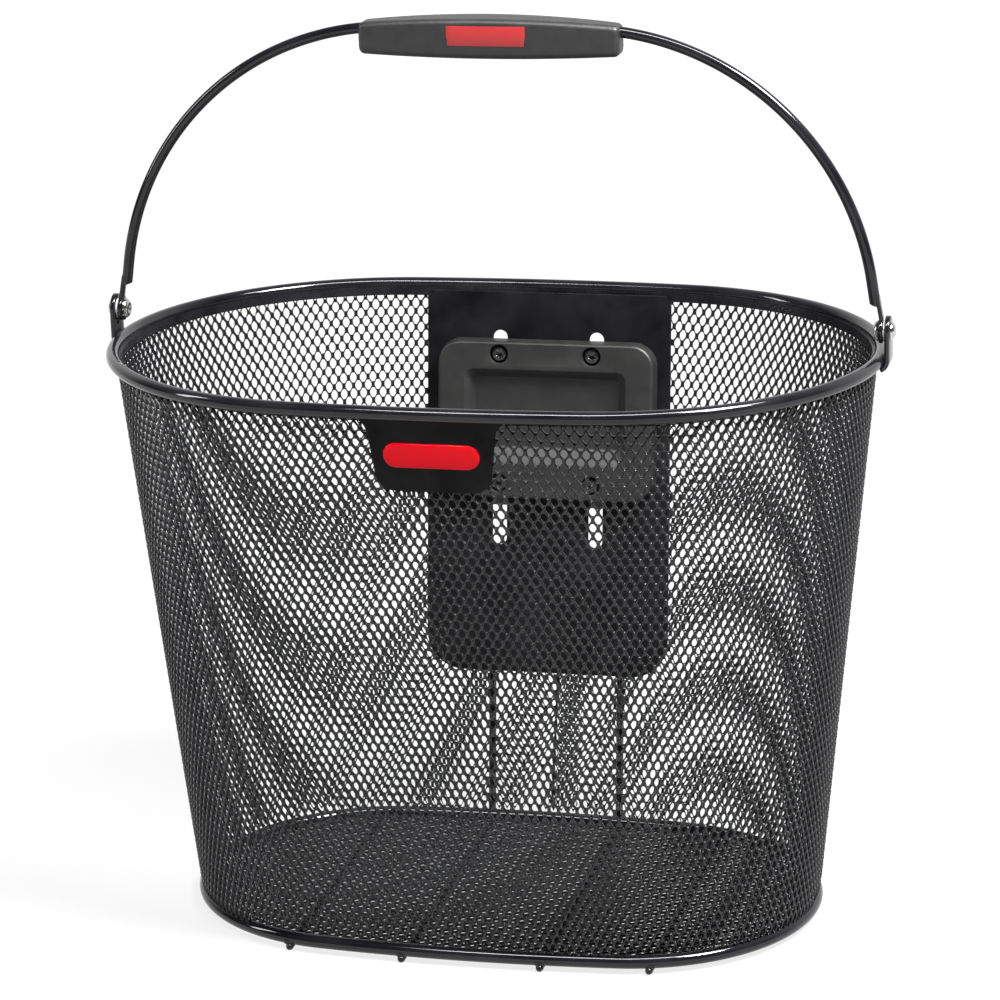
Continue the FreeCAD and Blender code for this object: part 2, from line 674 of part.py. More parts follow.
def build_rivets():
    """A shank through ear, washer and eye, with a dome inside and a smaller dome outside."""
    play = size("side_play")
    inner_seat = size("tongue_outer_x") - size("tongue_thick") - play
    outer_seat = size("ear_inner_x") + size("ear_thick")
    for side, word in ((-1, "left"), (1, "right")):
        shank = Part.makeCylinder(size("rivet_radius"), outer_seat - inner_seat)
        inside = dome(size("rivet_head_radius"), size("rivet_dome")).mirror(Vector(), Z_AXIS)
        outside = dome(size("outer_head_radius"), size("rivet_dome"))
        outside.translate(Vector(0, 0, outer_seat - inner_seat))
        rivet = shank.fuse([inside, outside]).removeSplitter()
        turn = Placement(Vector(inner_seat, 0, size("pivot_height")), TO_X)
        rivet.transformShape(turn.toMatrix(), True)
        feature(f"rivet_{word}", rivet if side > 0 else rivet.mirror(Vector(), X_AXIS))


def build_hinge_washers():
    low = size("tongue_outer_x") + size("side_play")
    for side, word in ((-1, "left"), (1, "right")):
        start = Vector(side * low, 0, size("pivot_height"))
        thick = size("ear_inner_x") - low
        ring = Part.makeCylinder(size("hinge_washer_radius"), thick, start, X_AXIS * side)
        hole = Part.makeCylinder(
            size("rivet_radius") + size("rivet_clearance"), thick, start, X_AXIS * side
        )
        feature(f"hinge_washer_{word}", ring.cut(hole))


# ---- bail and grip ------------------------------------------------------------------------

def crown_centre():
    return Vector(0, 0, size("bail_top") - size("bail_crown_radius"))


def side_centre():
    """Centre of the bail's right-hand side arc, tangent to the crown's arc."""
    turn = math.radians(size("bail_crown_angle"))
    run = size("bail_crown_radius") - size("bail_side_radius")
    return crown_centre() + Vector(math.sin(turn), 0, math.cos(turn)) * run


def bail_point(centre, radius, angle):
    """A point on an arc of the bail: angle in degrees from straight up, inset from the outer edge."""
    turn = math.radians(angle)
    return centre + Vector(math.sin(turn), 0, math.cos(turn)) * radius


def mirror_x(point):
    """The same point on the other side."""
    return Vector(-point.x, point.y, point.z)


def bail_path(inset):
    """The bail's line at an inset from its outer edge, from the left end to the right end."""
    crown, side = crown_centre(), side_centre()
    crown_radius, side_radius = size("bail_crown_radius") - inset, size("bail_side_radius") - inset
    near, far = size("bail_crown_angle"), size("bail_end_angle")
    right = [bail_point(side, side_radius, a) for a in (near, (near + far) / 2, far)]
    right.append(right[-1] + leg_direction() * size("bail_leg"))
    left = [mirror_x(point) for point in right]
    top = bail_point(crown, crown_radius, 0)
    return Part.Wire([
        Part.LineSegment(left[3], left[2]).toShape(),
        Part.Arc(left[2], left[1], left[0]).toShape(),
        Part.Arc(left[0], top, right[0]).toShape(),
        Part.Arc(right[0], right[1], right[2]).toShape(),
        Part.LineSegment(right[2], right[3]).toShape(),
    ])


def leg_direction():
    """The way the right-hand side of the bail runs where its arc ends."""
    turn = math.radians(size("bail_end_angle"))
    return Vector(math.cos(turn), 0, -math.sin(turn))


def bail_tongue():
    """The right-hand tongue: a flattened strip that ends in the rivet's eye."""
    outer, thick, block = size("tongue_outer_x"), size("tongue_thick"), 3 * size("eye_radius")
    end = bail_point(side_centre(), size("bail_side_radius"), size("bail_end_angle"))
    upper = end + leg_direction() * (size("bail_leg") - size("tongue_lap"))
    bend = Vector(outer, 0, size("tongue_straight_top"))
    foot = Vector(outer, 0, size("pivot_height") - block / 2)
    inward = Vector(-thick, 0, 0)
    points = [upper, bend, foot, foot + inward, bend + inward, upper + inward]
    strip = Part.Face(Part.makePolygon(points + points[:1])).extrude(Vector(0, block, 0))
    strip.translate(Vector(0, -block / 2, 0))
    pivot = Vector(outer - block / 2, 0, size("pivot_height"))
    neck_side = Vector(0, size("neck_half_width"), 0)
    neck = Part.makeBox(block, 2 * size("neck_half_width"), size("neck_height"), pivot - neck_side)
    eye = Part.makeCylinder(size("eye_radius"), block, pivot, X_AXIS)
    hole = Part.makeCylinder(size("rivet_radius") + size("rivet_clearance"), block, pivot, X_AXIS)
    return strip.common(neck.fuse(eye)).cut(hole)


def build_bail():
    """The round rod, bent from three tangent arcs, with both tongues forged on."""
    path = bail_path(size("rod_radius"))
    start = path.Vertexes[0].Point
    ahead = path.Edges[0].tangentAt(path.Edges[0].FirstParameter)
    section = Part.Wire(Part.makeCircle(size("rod_radius"), start, ahead))
    rod = path.makePipeShell([section], True, True)
    tongue = bail_tongue()
    whole = rod.fuse([tongue, tongue.mirror(Vector(), X_AXIS)]).removeSplitter()
    feature("bail_rod", whole)


def grip_block(inset):
    """The grip's outer form, made smaller by an inset: crowned top, bulged sides."""
    length, middle = size("grip_length") / 2 - inset, size("grip_shift")
    left, right = middle - length, middle + length
    crown = crown_centre()
    crown_radius = size("bail_crown_radius") + size("grip_cover") - inset
    low, end_low = size("grip_low") + inset, size("grip_end_low") + inset

    def top_at(x):
        return Vector(x, 0, crown.z + math.sqrt(crown_radius ** 2 - x ** 2))

    outline = Part.Wire([
        Part.Arc(Vector(left, 0, end_low), Vector(middle, 0, low), Vector(right, 0, end_low)).toShape(),
        Part.LineSegment(Vector(right, 0, end_low), top_at(right)).toShape(),
        Part.Arc(top_at(right), top_at(middle), top_at(left)).toShape(),
        Part.LineSegment(top_at(left), Vector(left, 0, end_low)).toShape(),
    ])
    upright = Part.Face(outline).extrude(Vector(0, OVERSIZE, 0))
    upright.translate(Vector(0, -OVERSIZE / 2, 0))
    deep, end_deep = size("grip_half_depth") - inset, size("grip_end_half_depth") - inset
    plan = Part.Wire([
        Part.Arc(Vector(left, -end_deep, 0), Vector(middle, -deep, 0), Vector(right, -end_deep, 0)).toShape(),
        Part.LineSegment(Vector(right, -end_deep, 0), Vector(right, end_deep, 0)).toShape(),
        Part.Arc(Vector(right, end_deep, 0), Vector(middle, deep, 0), Vector(left, end_deep, 0)).toShape(),
        Part.LineSegment(Vector(left, end_deep, 0), Vector(left, -end_deep, 0)).toShape(),
    ])
    lying = Part.Face(plan).extrude(Vector(0, 0, OVERSIZE))
    lying.translate(Vector(0, 0, size("grip_low") - OVERSIZE / 2))
    return upright.common(lying)


def grip_cutter(low_y, high_y, low_z, high_z):
    """A block across the whole grip that keeps what lies between two depths and two heights."""
    return Part.makeBox(
        OVERSIZE, high_y - low_y, high_z - low_z, Vector(size("grip_shift") - OVERSIZE / 2, low_y, low_z)
    )


def build_grip():
    """Two half shells that clip together round the rod; each is hollow below the rod."""
    block = grip_block(0.0)
    block = block.makeFillet(size("grip_round"), block.Edges)
    channel_path = bail_path(size("rod_radius"))
    start = channel_path.Vertexes[0].Point
    ahead = channel_path.Edges[0].tangentAt(channel_path.Edges[0].FirstParameter)
    section = Part.Wire(Part.makeCircle(size("rod_radius"), start, ahead))
    channel = channel_path.makePipeShell([section], True, True)
    deep, high = 2 * size("grip_half_depth"), 2 * size("bail_top")
    under_rod = size("bail_top") - 2 * size("rod_radius") - size("grip_wall")
    hollow = grip_block(size("grip_wall")).common(grip_cutter(-deep, deep, 0, under_rod))
    body = block.cut(channel).cut(hollow)
    gap = size("grip_parting") / 2
    for word, low_y, high_y in (("front", -deep, -gap), ("rear", gap, deep)):
        shell = body.common(grip_cutter(low_y, high_y, 0, high))
        label = grip_label(low_y, high_y)
        feature(f"grip_{word}_shell", shell.cut(label))
        feature(f"grip_label_{word}", label)


def grip_label(low_y, high_y):
    """A thin coloured inlay let into the grip's bulged face, left blank."""
    length = size("label_length")
    box = Part.makeBox(
        length, high_y - low_y, size("label_height"),
        Vector(size("grip_shift") - length / 2, low_y, size("label_low")),
    )
    return grip_block(0.0).cut(grip_block(size("label_thick"))).common(box)


# ---- make everything, check it, write it --------------------------------------------------

build_tubes()
build_hem_band()
build_wall()
build_floor()
build_floor_wires()
build_stay_wires()
build_back_plate()
build_counter_plate()
build_coupling_shoe()
build_fasteners()
build_badge_plate()
build_badge()
build_ears()
build_rivets()
build_hinge_washers()
build_bail()
build_grip()
doc.recompute()

broken = [
    thing.Name for thing in doc.Objects
    if {"Invalid", "Error"} & set(thing.State)
]
if broken:
    raise RuntimeError(f"failed to recompute: {broken}")
for node in nodes:
    if node.Shape.isNull() or not node.Shape.isValid() or not node.Shape.Solids:
        raise RuntimeError(f"{node.Label} has no valid solid")

os.makedirs("parts", exist_ok=True)
for node in nodes:
    node.Shape.exportStep(f"parts/{node.Label}.step")
    box = node.Shape.optimalBoundingBox(False)
    print(
        f"{node.Label}: {len(node.Shape.Solids)} solids, {node.Shape.Volume:.0f} mm3, "
        f"x {box.XMin:.1f}..{box.XMax:.1f} y {box.YMin:.1f}..{box.YMax:.1f} "
        f"z {box.ZMin:.1f}..{box.ZMax:.1f}"
    )
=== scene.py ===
"""The looks of a wire-mesh handlebar basket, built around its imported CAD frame. Metres, +Z up."""

from math import atan2, cos, exp, hypot, pi, radians, sin, sqrt, tan

import bmesh
import bpy
import numpy as np
from mathutils import Matrix, Vector


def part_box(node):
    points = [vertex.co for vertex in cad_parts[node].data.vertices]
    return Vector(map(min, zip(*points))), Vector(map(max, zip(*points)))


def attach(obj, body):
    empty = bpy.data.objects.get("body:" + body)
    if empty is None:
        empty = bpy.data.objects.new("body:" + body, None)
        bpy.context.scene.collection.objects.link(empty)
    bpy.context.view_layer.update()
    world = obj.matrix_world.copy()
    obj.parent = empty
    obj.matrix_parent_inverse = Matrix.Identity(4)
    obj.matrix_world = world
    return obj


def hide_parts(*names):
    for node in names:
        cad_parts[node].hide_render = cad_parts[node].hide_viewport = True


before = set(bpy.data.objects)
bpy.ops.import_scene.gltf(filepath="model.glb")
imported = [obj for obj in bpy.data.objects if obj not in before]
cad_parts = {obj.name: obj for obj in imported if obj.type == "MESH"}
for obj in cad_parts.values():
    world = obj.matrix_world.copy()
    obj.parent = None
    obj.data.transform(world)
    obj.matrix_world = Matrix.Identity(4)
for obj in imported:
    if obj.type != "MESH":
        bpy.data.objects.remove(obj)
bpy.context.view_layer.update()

MM = 0.001
BASKET, BAIL = "basket", "bail"

# ---- sizes: most come from the frame's boxes ----

rim_low, rim_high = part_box("rim_tube")
base_low, base_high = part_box("base_ring")
TUBE = (rim_high.z - rim_low.z) / 2
RIM_Z, BASE_Z = (rim_high.z + rim_low.z) / 2, (base_high.z + base_low.z) / 2
# half width, half depth and end radius of the two ovals, to the centre of their tubes
RIM_OVAL = np.array([rim_high.x - TUBE, rim_high.y - TUBE, 118.5 * MM])
BASE_OVAL = np.array([base_high.x - TUBE, base_high.y - TUBE, 83.8 * MM])
SLOPE = atan2(RIM_OVAL[1] - BASE_OVAL[1], RIM_Z - BASE_Z)

COLUMNS = 200                # mesh holes round the wall
CELL_WIDTH = 4.6 * MM        # of the flat mesh in the floor
CELL_HEIGHT = 7.8 * MM       # from one hole to the next in its own column
CELL_STRETCH = 0.07          # the front's cells grow taller towards the narrow foot
STRAND_CREST = 0.60 * MM     # half thickness of a strand along its middle
STRAND_EDGE = 0.44 * MM      # half thickness along its edges
BOND_RISE = 0.12 * MM        # how much prouder the bonds between strands stand
# one hole's outline in half cells: a tall diamond with clipped corners
HOLE_SIDE, HOLE_TOP = (0.665, 0.18), (0.25, 0.602)
HOLE = [
    (sx * x, sy * y)
    for sx, sy, pair in ((1, 1, 1), (-1, 1, -1), (-1, -1, 1), (1, -1, -1))
    for x, y in (HOLE_SIDE, HOLE_TOP)[::pair]
]
TILT = 0.55 * MM             # a hole's top edge stands out by this, and its foot stands in
# how the rolled sheet sits on its form: the lean of its columns at the front and the back, and
# the slope of its rows at places round the wall (parts of the way round from the front)
FRONT_LEAN, BACK_LEAN = 0.019, 0.041
ROW_SLOPE = (
    (-0.50, -0.020), (-0.38, -0.016), (-0.20, 0.0), (-0.05, -0.005), (0.08, -0.045),
    (0.17, -0.055), (0.27, -0.010), (0.36, 0.040), (0.50, 0.020),
)
COLUMN_DRIFT = 0.008         # the back's columns crowd together on the right
# where the lattice starts, in half cells across and up
FRONT_PHASE, BACK_PHASE = (-0.05, -0.80), (-0.34, 0.40)
CORNERS = [(1, 0), (0, 1), (-1, 0), (0, -1)]
WALL_FOOT, WALL_HEAD = base_high.z - 0.9 * MM, rim_low.z + 1.8 * MM
WALL_OFFSET_FOOT, WALL_OFFSET_HEAD = 0.7 * MM, -2.1 * MM


# ---- mesh helpers ----

def show(name, data):
    """A new object in the scene."""
    thing = bpy.data.objects.new(name, data)
    bpy.context.scene.collection.objects.link(thing)
    return thing


def shaded(name, data, sharp):
    """An object that is smooth except across edges sharper than an angle in degrees."""
    data.shade_smooth()
    data.set_sharp_from_angle(angle=radians(sharp))
    return show(name, data)


def finish_mesh(name, data, sharp):
    """An object with its doubled points merged and its faces turned outwards."""
    work = bmesh.new()
    work.from_mesh(data)
    bmesh.ops.remove_doubles(work, verts=work.verts, dist=1e-6)
    bmesh.ops.recalc_face_normals(work, faces=work.faces)
    work.to_mesh(data)
    work.free()
    return shaded(name, data, sharp)


def loft(name, loops, closed=False, sharp=35):
    """A skin over loops of the same number of points, capped at both ends unless it is closed."""
    count, rows = len(loops[0]), len(loops)
    points = [p for loop in loops for p in loop]
    faces = []
    for row in range(rows if closed else rows - 1):
        here, there = row * count, (row + 1) % rows * count
        for k in range(count):
            following = (k + 1) % count
            faces.append((here + k, here + following, there + following, there + k))
    if not closed:
        faces.append(tuple(reversed(range(count))))
        faces.append(tuple(range((rows - 1) * count, rows * count)))
    data = bpy.data.meshes.new(name)
    data.from_pydata([tuple(p) for p in points], [], faces)
    return finish_mesh(name, data, sharp)


def full_turn(count):
    """Angles at even steps round a full turn."""
    return [2 * pi * k / count for k in range(count)]


def round_points(centre, across, upward, radius, angles):
    """Points round a centre, at angles from across towards upward."""
    return [centre + across * (radius * cos(t)) + upward * (radius * sin(t)) for t in angles]


def rounded_rectangle(half_width, half_height, corner, steps=6):
    """Points of a rounded rectangle about the origin of a plane, anticlockwise."""
    corner = min(corner, half_width, half_height)
    points = []
    for quarter, (sx, sy) in enumerate(((1, 1), (-1, 1), (-1, -1), (1, -1))):
        cx, cy = sx * (half_width - corner), sy * (half_height - corner)
        for k in range(steps + 1):
            turn = pi / 2 * (quarter + k / steps)
            points.append((cx + corner * cos(turn), cy + corner * sin(turn)))
    return points


def on_plane(points, place, depth):
    """Plane points (x, z) set into space by a placement, at a depth along its local Y."""
    return [place @ Vector((x, depth, z)) for x, z in points]


def slab(name, half_width, half_height, corner, near, far, edge, place):
    """A rounded block between two depths, near < far, with softened edges all round."""
    loops = []
    for end, side in ((near, 1), (far, -1)):
        rows = []
        for turn in (0, 30, 60, 90):
            inset = edge * (1 - sin(radians(turn)))
            depth = end + side * edge * (1 - cos(radians(turn)))
            shape = rounded_rectangle(half_width - inset, half_height - inset, corner - inset)
            rows.append(on_plane(shape, place, depth))
        loops += rows if side > 0 else rows[::-1]
    return loft(name, loops)


def join(name, things):
    """One object out of several."""
    data = bpy.data.meshes.new(name)
    work = bmesh.new()
    for thing in things:
        part = thing.data.copy()
        part.transform(thing.matrix_world)
        work.from_mesh(part)
        bpy.data.meshes.remove(part)
        bpy.data.objects.remove(thing)
    work.to_mesh(data)
    work.free()
    return shaded(name, data, 35)


def baked(thing):
    """The mesh that a thing shows, with its modifiers applied; the thing itself goes."""
    data = bpy.data.meshes.new_from_object(thing.evaluated_get(bpy.context.evaluated_depsgraph_get()))
    bpy.data.objects.remove(thing)
    return data


def carve(thing, cutters, name, sharp, crossing=False):
    """Cut holes into a thing. crossing says that its own parts run through one another."""
    cutter = join("cutter", cutters)
    cut = thing.modifiers.new("holes", "BOOLEAN")
    cut.operation, cut.solver, cut.object = "DIFFERENCE", "EXACT", cutter
    cut.use_self = crossing
    data = baked(thing)
    bpy.data.objects.remove(cutter)
    return finish_mesh(name, data, sharp)


def lathe(name, profile, place, closed=False, count=36, sharp=35):
    """A turned part: profile is (radius, height) along the placement's local Y.

    A row with a third value is six-sided, and its radius is to the flats."""
    loops = []
    for radius, height, *flats in profile:
        row = []
        for a in full_turn(count):
            r = radius / cos((a + pi / 6) % (pi / 3) - pi / 6) if flats else radius
            row.append(place @ Vector((r * cos(a), height, r * sin(a))))
        loops.append(row)
    return loft(name, loops, closed=closed, sharp=sharp)


def flat_ring(name, inner, outer, low, high, edge, place):
    """A flat ring about the placement's local Y, with softened edges."""
    profile = [
        (inner, low + edge), (inner + edge, low), (outer - edge, low), (outer, low + edge),
        (outer, high - edge), (outer - edge, high), (inner + edge, high), (inner, high - edge),
    ]
    return lathe(name, profile, place, closed=True, count=40)


# ---- the tapering oval ----

def oval_sizes(height):
    """Half width, half depth, end radius and side radius of the tubes' centre oval at a height."""
    rise = (height - BASE_Z) / (RIM_Z - BASE_Z)
    a, b, r = (BASE_OVAL[k] + rise * (RIM_OVAL[k] - BASE_OVAL[k]) for k in range(3))
    return a, b, r, (a * a + b * b - 2 * a * r) / (2 * (b - r))


def oval_points(share, height):
    """Points and outward directions on the tubes' centre surface.

    share is the part of the way round from the middle of the front, towards +X."""
    share, height = np.broadcast_arrays(np.asarray(share, float), np.asarray(height, float))
    a, b, r, big = oval_sizes(height)
    end_x, side_y = a - r, big - b
    turn = np.arctan2(side_y, end_x)
    lean = pi / 2 - turn
    side, end = big * lean, 2 * turn * r
    run = (share % 1.0) * (4 * side + 2 * end)
    starts = [0 * side, side, side + end, 3 * side + end, 3 * side + 2 * end]
    radii = [big, r, big, r, big]
    first = [0 * lean, lean, pi - lean, pi + lean, 2 * pi - lean]
    centre_x = [0 * a, end_x, 0 * a, -end_x, 0 * a]
    centre_y = [side_y, 0 * a, -side_y, 0 * a, side_y]
    zone = np.sum([run >= s for s in starts[1:]], axis=0)
    phi = np.choose(zone, [f + (run - s) / q for f, s, q in zip(first, starts, radii)])
    radius, cx, cy = (np.choose(zone, values) for values in (radii, centre_x, centre_y))
    outward = np.stack([np.sin(phi), -np.cos(phi), 0 * phi], -1)
    points = np.stack([cx + radius * np.sin(phi), cy - radius * np.cos(phi), height], -1)
    return points, outward


def wall_points(share, height, lift):
    """Points on the wall: lift is the distance outwards from the middle of its sheet."""
    mid, outward = oval_points(share, height)
    above, _ = oval_points(share, height + 1 * MM)
    upward = above - mid
    along = np.stack([-outward[..., 1], outward[..., 0], 0 * outward[..., 0]], -1)
    normal = np.cross(along, upward)
    normal /= np.linalg.norm(normal, axis=-1, keepdims=True)
    rise = (mid[..., 2] - WALL_FOOT) / (WALL_HEAD - WALL_FOOT)
    offset = WALL_OFFSET_FOOT + rise * (WALL_OFFSET_HEAD - WALL_OFFSET_FOOT)
    return mid + outward * offset[..., None] + normal * np.asarray(lift)[..., None]


def oval_ring(name, height):
    """The round tube along the oval at a height."""
    points, outward = oval_points(np.arange(256) / 256, height)
    up = np.array([0, 0, 1.0])
    loops = [round_points(p, out, up, TUBE, full_turn(20)) for p, out in zip(points, outward)]
    return loft(name, loops, closed=True, sharp=180)


# ---- expanded metal ----

def expanded_sheet(name, tiles, place, tilt=TILT):
    """A sheet of expanded metal. tiles are the lattice places (k, r) of its holes, and place
    maps lattice coordinates and a lift to points in space."""
    tiles = np.asarray(tiles)
    have = {tuple(t) for t in tiles}
    corner_keys = {}
    corner_of = np.zeros((len(tiles), 4), int)
    for index, (k, r) in enumerate(tiles):
        for corner, (dk, dr) in enumerate(CORNERS):
            corner_of[index, corner] = corner_keys.setdefault((k + dk, r + dr), len(corner_keys))
    bonds = np.array(list(corner_keys))
    holes = (tiles[:, None, :] + np.array(HOLE)[None]).reshape(-1, 2)
    bond_lift = np.full(len(bonds), STRAND_CREST + BOND_RISE)
    hole_lift = np.full(len(holes), STRAND_EDGE)
    lean = np.tile(np.array(HOLE)[:, 1], len(tiles)) * (tilt / HOLE_TOP[1])
    points = np.concatenate([
        place(bonds[:, 0], bonds[:, 1], bond_lift), place(bonds[:, 0], bonds[:, 1], -bond_lift),
        place(holes[:, 0], holes[:, 1], lean + hole_lift), place(holes[:, 0], holes[:, 1], lean - hole_lift),
    ])
    back = len(bonds)
    first, last = 2 * len(bonds), 2 * len(bonds) + len(holes)
    faces = []
    for index, (k, r) in enumerate(tiles):
        corners = corner_of[index]
        rim, far = ([start + 8 * index + n for n in range(8)] for start in (first, last))
        for n in range(4):
            here, there = corners[n], corners[(n + 1) % 4]
            one, two, three = 2 * n, 2 * n + 1, (2 * n + 2) % 8
            faces.append((here, there, rim[two], rim[one]))
            faces.append((there, rim[three], rim[two]))
            faces.append((far[one], far[two], there + back, here + back))
            faces.append((far[two], far[three], there + back))
            (ak, ar), (bk, br) = CORNERS[n], CORNERS[(n + 1) % 4]
            if (k + ak + bk, r + ar + br) not in have:
                faces.append((here, here + back, there + back, there))
        for n in range(8):
            m = (n + 1) % 8
            faces.append((rim[n], rim[m], far[m], far[n]))
    data = bpy.data.meshes.new(name)
    data.from_pydata(points.tolist(), [], faces)
    data.shade_smooth()
    return show(name, data)


# ---- materials ----

def ramp(tree, source, first, last, start, end, shape="LINEAR"):
    """A value carried from the range first to last to the range start to end."""
    node = tree.nodes.new("ShaderNodeMapRange")
    node.interpolation_type = shape
    for socket, number in (("From Min", first), ("From Max", last), ("To Min", start), ("To Max", end)):
        node.inputs[socket].default_value = number
    tree.links.new(source, node.inputs["Value"])
    return node.outputs["Result"]


def surface(name, colour, roughness, mottle=(90, 0.3), grain=(900, 0.02), rough_spread=0.05,
            metallic=0.0, specular=0.5, second=None):
    """A finish with drifting tone and gloss, and a fine grain in relief.

    mottle and grain are (scale, strength); second is the tone that the mottle drifts towards."""
    made = bpy.data.materials.new(name)
    made.use_nodes = True
    tree = made.node_tree
    shader = tree.nodes["Principled BSDF"]
    shader.inputs["Metallic"].default_value = metallic
    shader.inputs["Specular IOR Level"].default_value = specular
    place = tree.nodes.new("ShaderNodeTexCoord").outputs["Object"]

    def noise(scale, detail):
        node = tree.nodes.new("ShaderNodeTexNoise")
        node.inputs["Scale"].default_value = scale
        node.inputs["Detail"].default_value = detail
        tree.links.new(place, node.inputs["Vector"])
        return node.outputs["Fac"]

    tone = tree.nodes.new("ShaderNodeValToRGB")
    other = second or [min(1.0, c * (1 + 3 * mottle[1]) + 0.01 * mottle[1]) for c in colour]
    for stop, position, shade in zip(tone.color_ramp.elements, (0.35, 0.75), (colour, other)):
        stop.position, stop.color = position, (*shade, 1)
    tree.links.new(noise(mottle[0], 6.0), tone.inputs["Fac"])
    tree.links.new(tone.outputs["Color"], shader.inputs["Base Color"])
    gloss = noise(mottle[0] * 4, 4.0)
    gloss = ramp(tree, gloss, 0.0, 1.0, max(0.02, roughness - rough_spread), roughness + rough_spread)
    tree.links.new(gloss, shader.inputs["Roughness"])
    bump = tree.nodes.new("ShaderNodeBump")
    bump.inputs["Strength"].default_value = 1.0
    bump.inputs["Distance"].default_value = grain[1] * MM
    tree.links.new(noise(grain[0], 3.0), bump.inputs["Height"])
    tree.links.new(bump.outputs["Normal"], shader.inputs["Normal"])
    return made


BLACK, DEEP_BLACK = (0.004, 0.004, 0.005), (0.003, 0.003, 0.0035)
gloss_tube = surface(
    "gloss_black_paint", BLACK, 0.09, mottle=(40, 0.3), grain=(260, 0.018), rough_spread=0.03,
    specular=0.42)
mesh_paint = surface("mesh_black_paint", BLACK, 0.15)
floor_paint = surface("floor_black_paint", BLACK, 0.26, specular=0.22)
wire_paint = surface("wire_black_paint", BLACK, 0.24, mottle=(90, 0.4), grain=(700, 0.02), specular=0.3)
hem_paint = surface("hem_black_paint", BLACK, 0.28, mottle=(70, 0.4), grain=(700, 0.02), specular=0.22)
plate_paint = surface(
    "satin_black_plate", DEEP_BLACK, 0.32, mottle=(45, 0.4), grain=(1500, 0.012), specular=0.10)
tab_paint = surface(
    "gloss_black_tab", DEEP_BLACK, 0.18, mottle=(60, 0.4), grain=(500, 0.015), specular=0.07)
counter_plastic = surface(
    "grained_grey_plastic", (0.009, 0.009, 0.0087), 0.46, mottle=(120, 0.18), grain=(3200, 0.05),
    rough_spread=0.06)
grip_plastic = surface(
    "soft_grey_grip", (0.008, 0.008, 0.008), 0.46, mottle=(150, 0.2), grain=(3600, 0.045),
    rough_spread=0.07)
shoe_plastic = surface(
    "black_plastic", (0.012, 0.012, 0.013), 0.42, mottle=(120, 0.3), grain=(3000, 0.04), rough_spread=0.06)
bolt_steel = surface(
    "blackened_steel", (0.06, 0.06, 0.062), 0.18, mottle=(400, 0.5), grain=(5000, 0.01), metallic=0.9)
zinc = surface(
    "zinc_plated_steel", (0.55, 0.56, 0.55), 0.30, mottle=(300, 0.2), grain=(4000, 0.01), metallic=1.0)
rivet_steel = surface(
    "bright_rivet_steel", (0.62, 0.62, 0.61), 0.16, mottle=(500, 0.15), grain=(3000, 0.008), metallic=1.0,
    second=(0.45, 0.45, 0.44))
nylon = surface(
    "nylon", (0.55, 0.55, 0.52), 0.42, mottle=(300, 0.1), grain=(4000, 0.02), second=(0.48, 0.48, 0.45))
badge_red = surface(
    "badge_red", (0.58, 0.0015, 0.008), 0.12, mottle=(150, 0.1), grain=(900, 0.01), specular=0.12,
    second=(0.53, 0.001, 0.007))
label_red = surface(
    "label_red", (0.29, 0.012, 0.014), 0.42, mottle=(250, 0.1), grain=(3600, 0.03),
    second=(0.27, 0.013, 0.014), rough_spread=0.05)


def dress(thing, body, slot, finish, *nodes):
    """Give a piece its finish, its body and the CAD nodes that it stands for. The slot is not used."""
    thing.data.materials.clear()
    thing.data.materials.append(finish)
    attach(thing, body)
    if nodes:
        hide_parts(*nodes)


# ---- the welded tub ----

def build_tubes():
    """The rim and the base ring."""
    for node, height in (("rim_tube", RIM_Z), ("base_ring", BASE_Z)):
        dress(oval_ring(f"{node}_painted", height), BASKET, "gloss_black_tube", gloss_tube, node)


def wall_lattice():
    """The rows of the wall's lattice, and the map from its lattice to space."""
    half_rows = round((WALL_HEAD - WALL_FOOT) / (CELL_HEIGHT / 2 * cos(SLOPE)))
    spots, slopes = zip(*ROW_SLOPE)
    fine = np.linspace(-0.5, 0.5, 401)
    middle_height = (WALL_FOOT + WALL_HEAD) / 2
    middle_ring, _ = oval_points(np.arange(400) / 400, middle_height)
    girth = np.linalg.norm(middle_ring - np.roll(middle_ring, 1, axis=0), axis=1).sum()
    drop = np.cumsum(np.interp(fine, spots, slopes)) * girth / 400
    drop -= drop[200]

    def place(k, r, lift):
        share = np.asarray(k, float) / (2 * COLUMNS)
        turned = (share + 0.5) % 1.0 - 0.5
        turned = np.where(share == 0.5, 0.5, turned)
        behind = 0.5 - 0.5 * np.cos(2 * np.pi * share)
        climb = (r + FRONT_PHASE[1] * (1 - behind) + BACK_PHASE[1] * behind) / half_rows
        climb = climb + CELL_STRETCH * (1 - behind) * climb * (1 - climb)
        height = WALL_FOOT + climb * (WALL_HEAD - WALL_FOOT) + np.interp(turned, fine, drop)
        lean = FRONT_LEAN + (BACK_LEAN - FRONT_LEAN) * behind
        phase = (FRONT_PHASE[0] * (1 - behind) + BACK_PHASE[0] * behind) / (2 * COLUMNS)
        share = share - COLUMN_DRIFT * behind ** 2 + phase
        return wall_points(share - lean * (height - middle_height) / girth, height, lift)

    return range(-6, half_rows + 7), place


def build_wall():
    """The mesh wall in four panels, cut away where the back plate covers it."""
    rows, place = wall_lattice()
    plate_low, plate_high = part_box("back_plate")
    cover, edge = 6 * MM, 2.6 * MM
    quarter = COLUMNS // 2
    for number, word in enumerate(("front_right", "back_right", "back_left", "front_left")):
        k, r = np.array([
            (k, r) for r in rows
            for k in range(number * quarter, (number + 1) * quarter) if (k + r) % 2 == 0
        ]).T
        x, y, z = place(k, r, np.zeros(len(k))).T
        covered = (y > 0) & (abs(x) < plate_high.x - cover) & (z > plate_low.z + cover)
        kept = (z > WALL_FOOT + edge) & (z < WALL_HEAD - edge) & ~covered
        panel = expanded_sheet(f"wall_mesh_{word}", np.stack([k, r], -1)[kept], place)
        dress(panel, BASKET, "black_mesh", mesh_paint, "wall_mesh")


